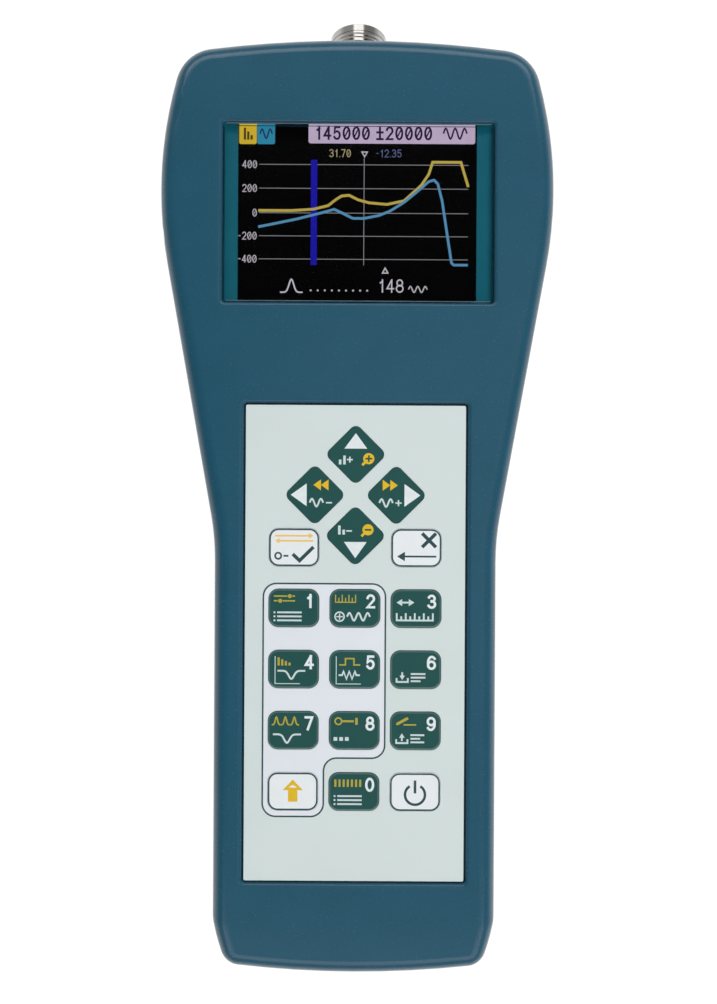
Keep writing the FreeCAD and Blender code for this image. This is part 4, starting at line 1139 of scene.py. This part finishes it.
def make_jack():
    """The jack's body with its real thread, in place of the plain one."""
    low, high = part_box("jack_body")
    nut_low, nut_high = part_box("jack_nut")
    flange = (high.x - low.x) / 2 / MM
    axis_z = (low.z + high.z) / 2 / MM
    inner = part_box("rear_shell")[1].y / MM - END_WALL
    tip = high.y / MM
    rings = jack_profile(tip, nut_low.y / MM, nut_high.y / MM, inner, low.y / MM, flange)
    mesh = bmesh.new()
    grid = []
    for y, radius in rings:
        row = []
        for step in range(JACK_STEPS):
            turn = step / JACK_STEPS
            here = radius or thread_radius(y, turn, nut_high.y / MM, tip - RIM_LENGTH)
            x = here * math.cos(math.tau * turn)
            z = axis_z + here * math.sin(math.tau * turn)
            row.append(mesh.verts.new((x * MM, y * MM, z * MM)))
        grid.append(row)
    for row, following in zip(grid, grid[1:] + grid[:1]):
        for step in range(JACK_STEPS):
            after = (step + 1) % JACK_STEPS
            mesh.faces.new((row[step], row[after], following[after], following[step]))
    piece = finish_piece(mesh, "jack_body_threaded", "case",
                         ["nickel_plate"], smooth=SHARP_ANGLE)
    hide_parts("jack_body")


# -------- studio

# Sizes of the studio are in metres
FLOOR_SIZE = 24.0
FLOOR_Z = -0.0002
# The sky's colours, from a height of 0 at the horizon to 1 overhead
SKY = ((0.10, grey(0.48)), (0.36, (0.04, 0.04, 0.041, 1)), (0.75, (0.008, 0.008, 0.0085, 1)))
LAMP_AIM = (0, 0, 0.05)


def make_floor():
    """A plain floor that shows as white and still takes the object's shadow."""
    mesh = bmesh.new()
    corners = block((0, 0), FLOOR_SIZE, FLOOR_SIZE)
    mesh.faces.new([mesh.verts.new((x, y, FLOOR_Z)) for x, y in corners])
    floor = add_object("floor", mesh_data(mesh, "floor", ["floor"]))


def make_world():
    """A studio that is pale at the horizon and dark overhead."""
    world = bpy.data.worlds.new("studio")
    bpy.context.scene.world = world
    world.use_nodes = True
    tree = world.node_tree
    place = tree.nodes.new("ShaderNodeTexCoord")
    split = tree.nodes.new("ShaderNodeSeparateXYZ")
    ramp = tree.nodes.new("ShaderNodeValToRGB")
    steps = ramp.color_ramp.elements
    steps.new(SKY[1][0])
    for step, (height, colour) in zip(steps, SKY):
        step.position, step.color = height, colour
    tree.links.new(place.outputs["Generated"], split.inputs[0])
    tree.links.new(split.outputs["Z"], ramp.inputs[0])
    tree.links.new(ramp.outputs["Color"], tree.nodes["Background"].inputs["Color"])


def make_lamp(name, direction, distance, size, watts, mirrored=True, only=(), never=()):
    """A softbox that faces the object, or some pieces only, or leaves some out.

    The direction is in degrees from +X, and from straight up."""
    around, down = math.radians(direction[0]), math.radians(direction[1])
    way = Vector((math.cos(around) * math.sin(down), math.sin(around) * math.sin(down),
                  math.cos(down)))
    light = bpy.data.lights.new(name, "AREA")
    light.shape = "RECTANGLE"
    light.size, light.size_y = size
    light.energy = watts
    lamp = add_object(name, light)
    lamp.location = way * distance + Vector(LAMP_AIM)
    lamp.rotation_mode = "QUATERNION"
    lamp.rotation_quaternion = way.to_track_quat("Z", "Y")
    lamp.visible_glossy = lamp.visible_transmission = mirrored
    if only or never:
        linked = bpy.data.collections.new(name + "_receivers")
        for piece in only or never:
            linked.objects.link(piece)
        for child in linked.collection_objects:
            child.light_linking.link_state = "INCLUDE" if only else "EXCLUDE"
        lamp.light_linking.receiver_collection = linked


def make_lamps():
    """Soft light from above, softboxes beyond both ends, and a set for the bright jack alone."""
    jack = [bpy.data.objects["jack_body_threaded"]]
    jack += [frame["nodes"][name] for name in ("jack_insulator", "jack_contact", "jack_nut")]
    make_lamp("above", (0, 16), 1.3, (1.2, 1.2), 13.4, mirrored=False)
    make_lamp("far", (90, 53), 0.98, (1.4, 0.26), 3.2, never=jack)
    make_lamp("near", (-90, 51), 0.98, (1.4, 0.36), 2.2)
    make_lamp("jack_strip", (90, 16), 1.0, (0.63, 1.4), 5.8, only=jack)
    make_lamp("jack_left", (135, 64), 0.96, (1.2, 1.0), 1.7, only=jack)
    make_lamp("jack_fill", (45, 64), 0.96, (1.2, 1.0), 1.05, only=jack)


def make_camera():
    """The camera of the reference view."""
    data = bpy.data.cameras.new("camera")
    data.lens = CAMERA_LENS
    data.sensor_width = CAMERA_SENSOR
    data.clip_start, data.clip_end = CAMERA_REACH
    camera = add_object("camera", data)
    camera.location = Vector(CAMERA_PLACE) * MM
    camera.rotation_euler = (0, 0, CAMERA_TURN)
    bpy.context.scene.camera = camera


dress_nodes()
print_zone()
print_keys()
make_display()
paint_lens_edge_light()
make_jack()
make_floor()
make_world()
make_lamps()
make_camera()
bpy.context.scene.view_settings.view_transform = "Standard"
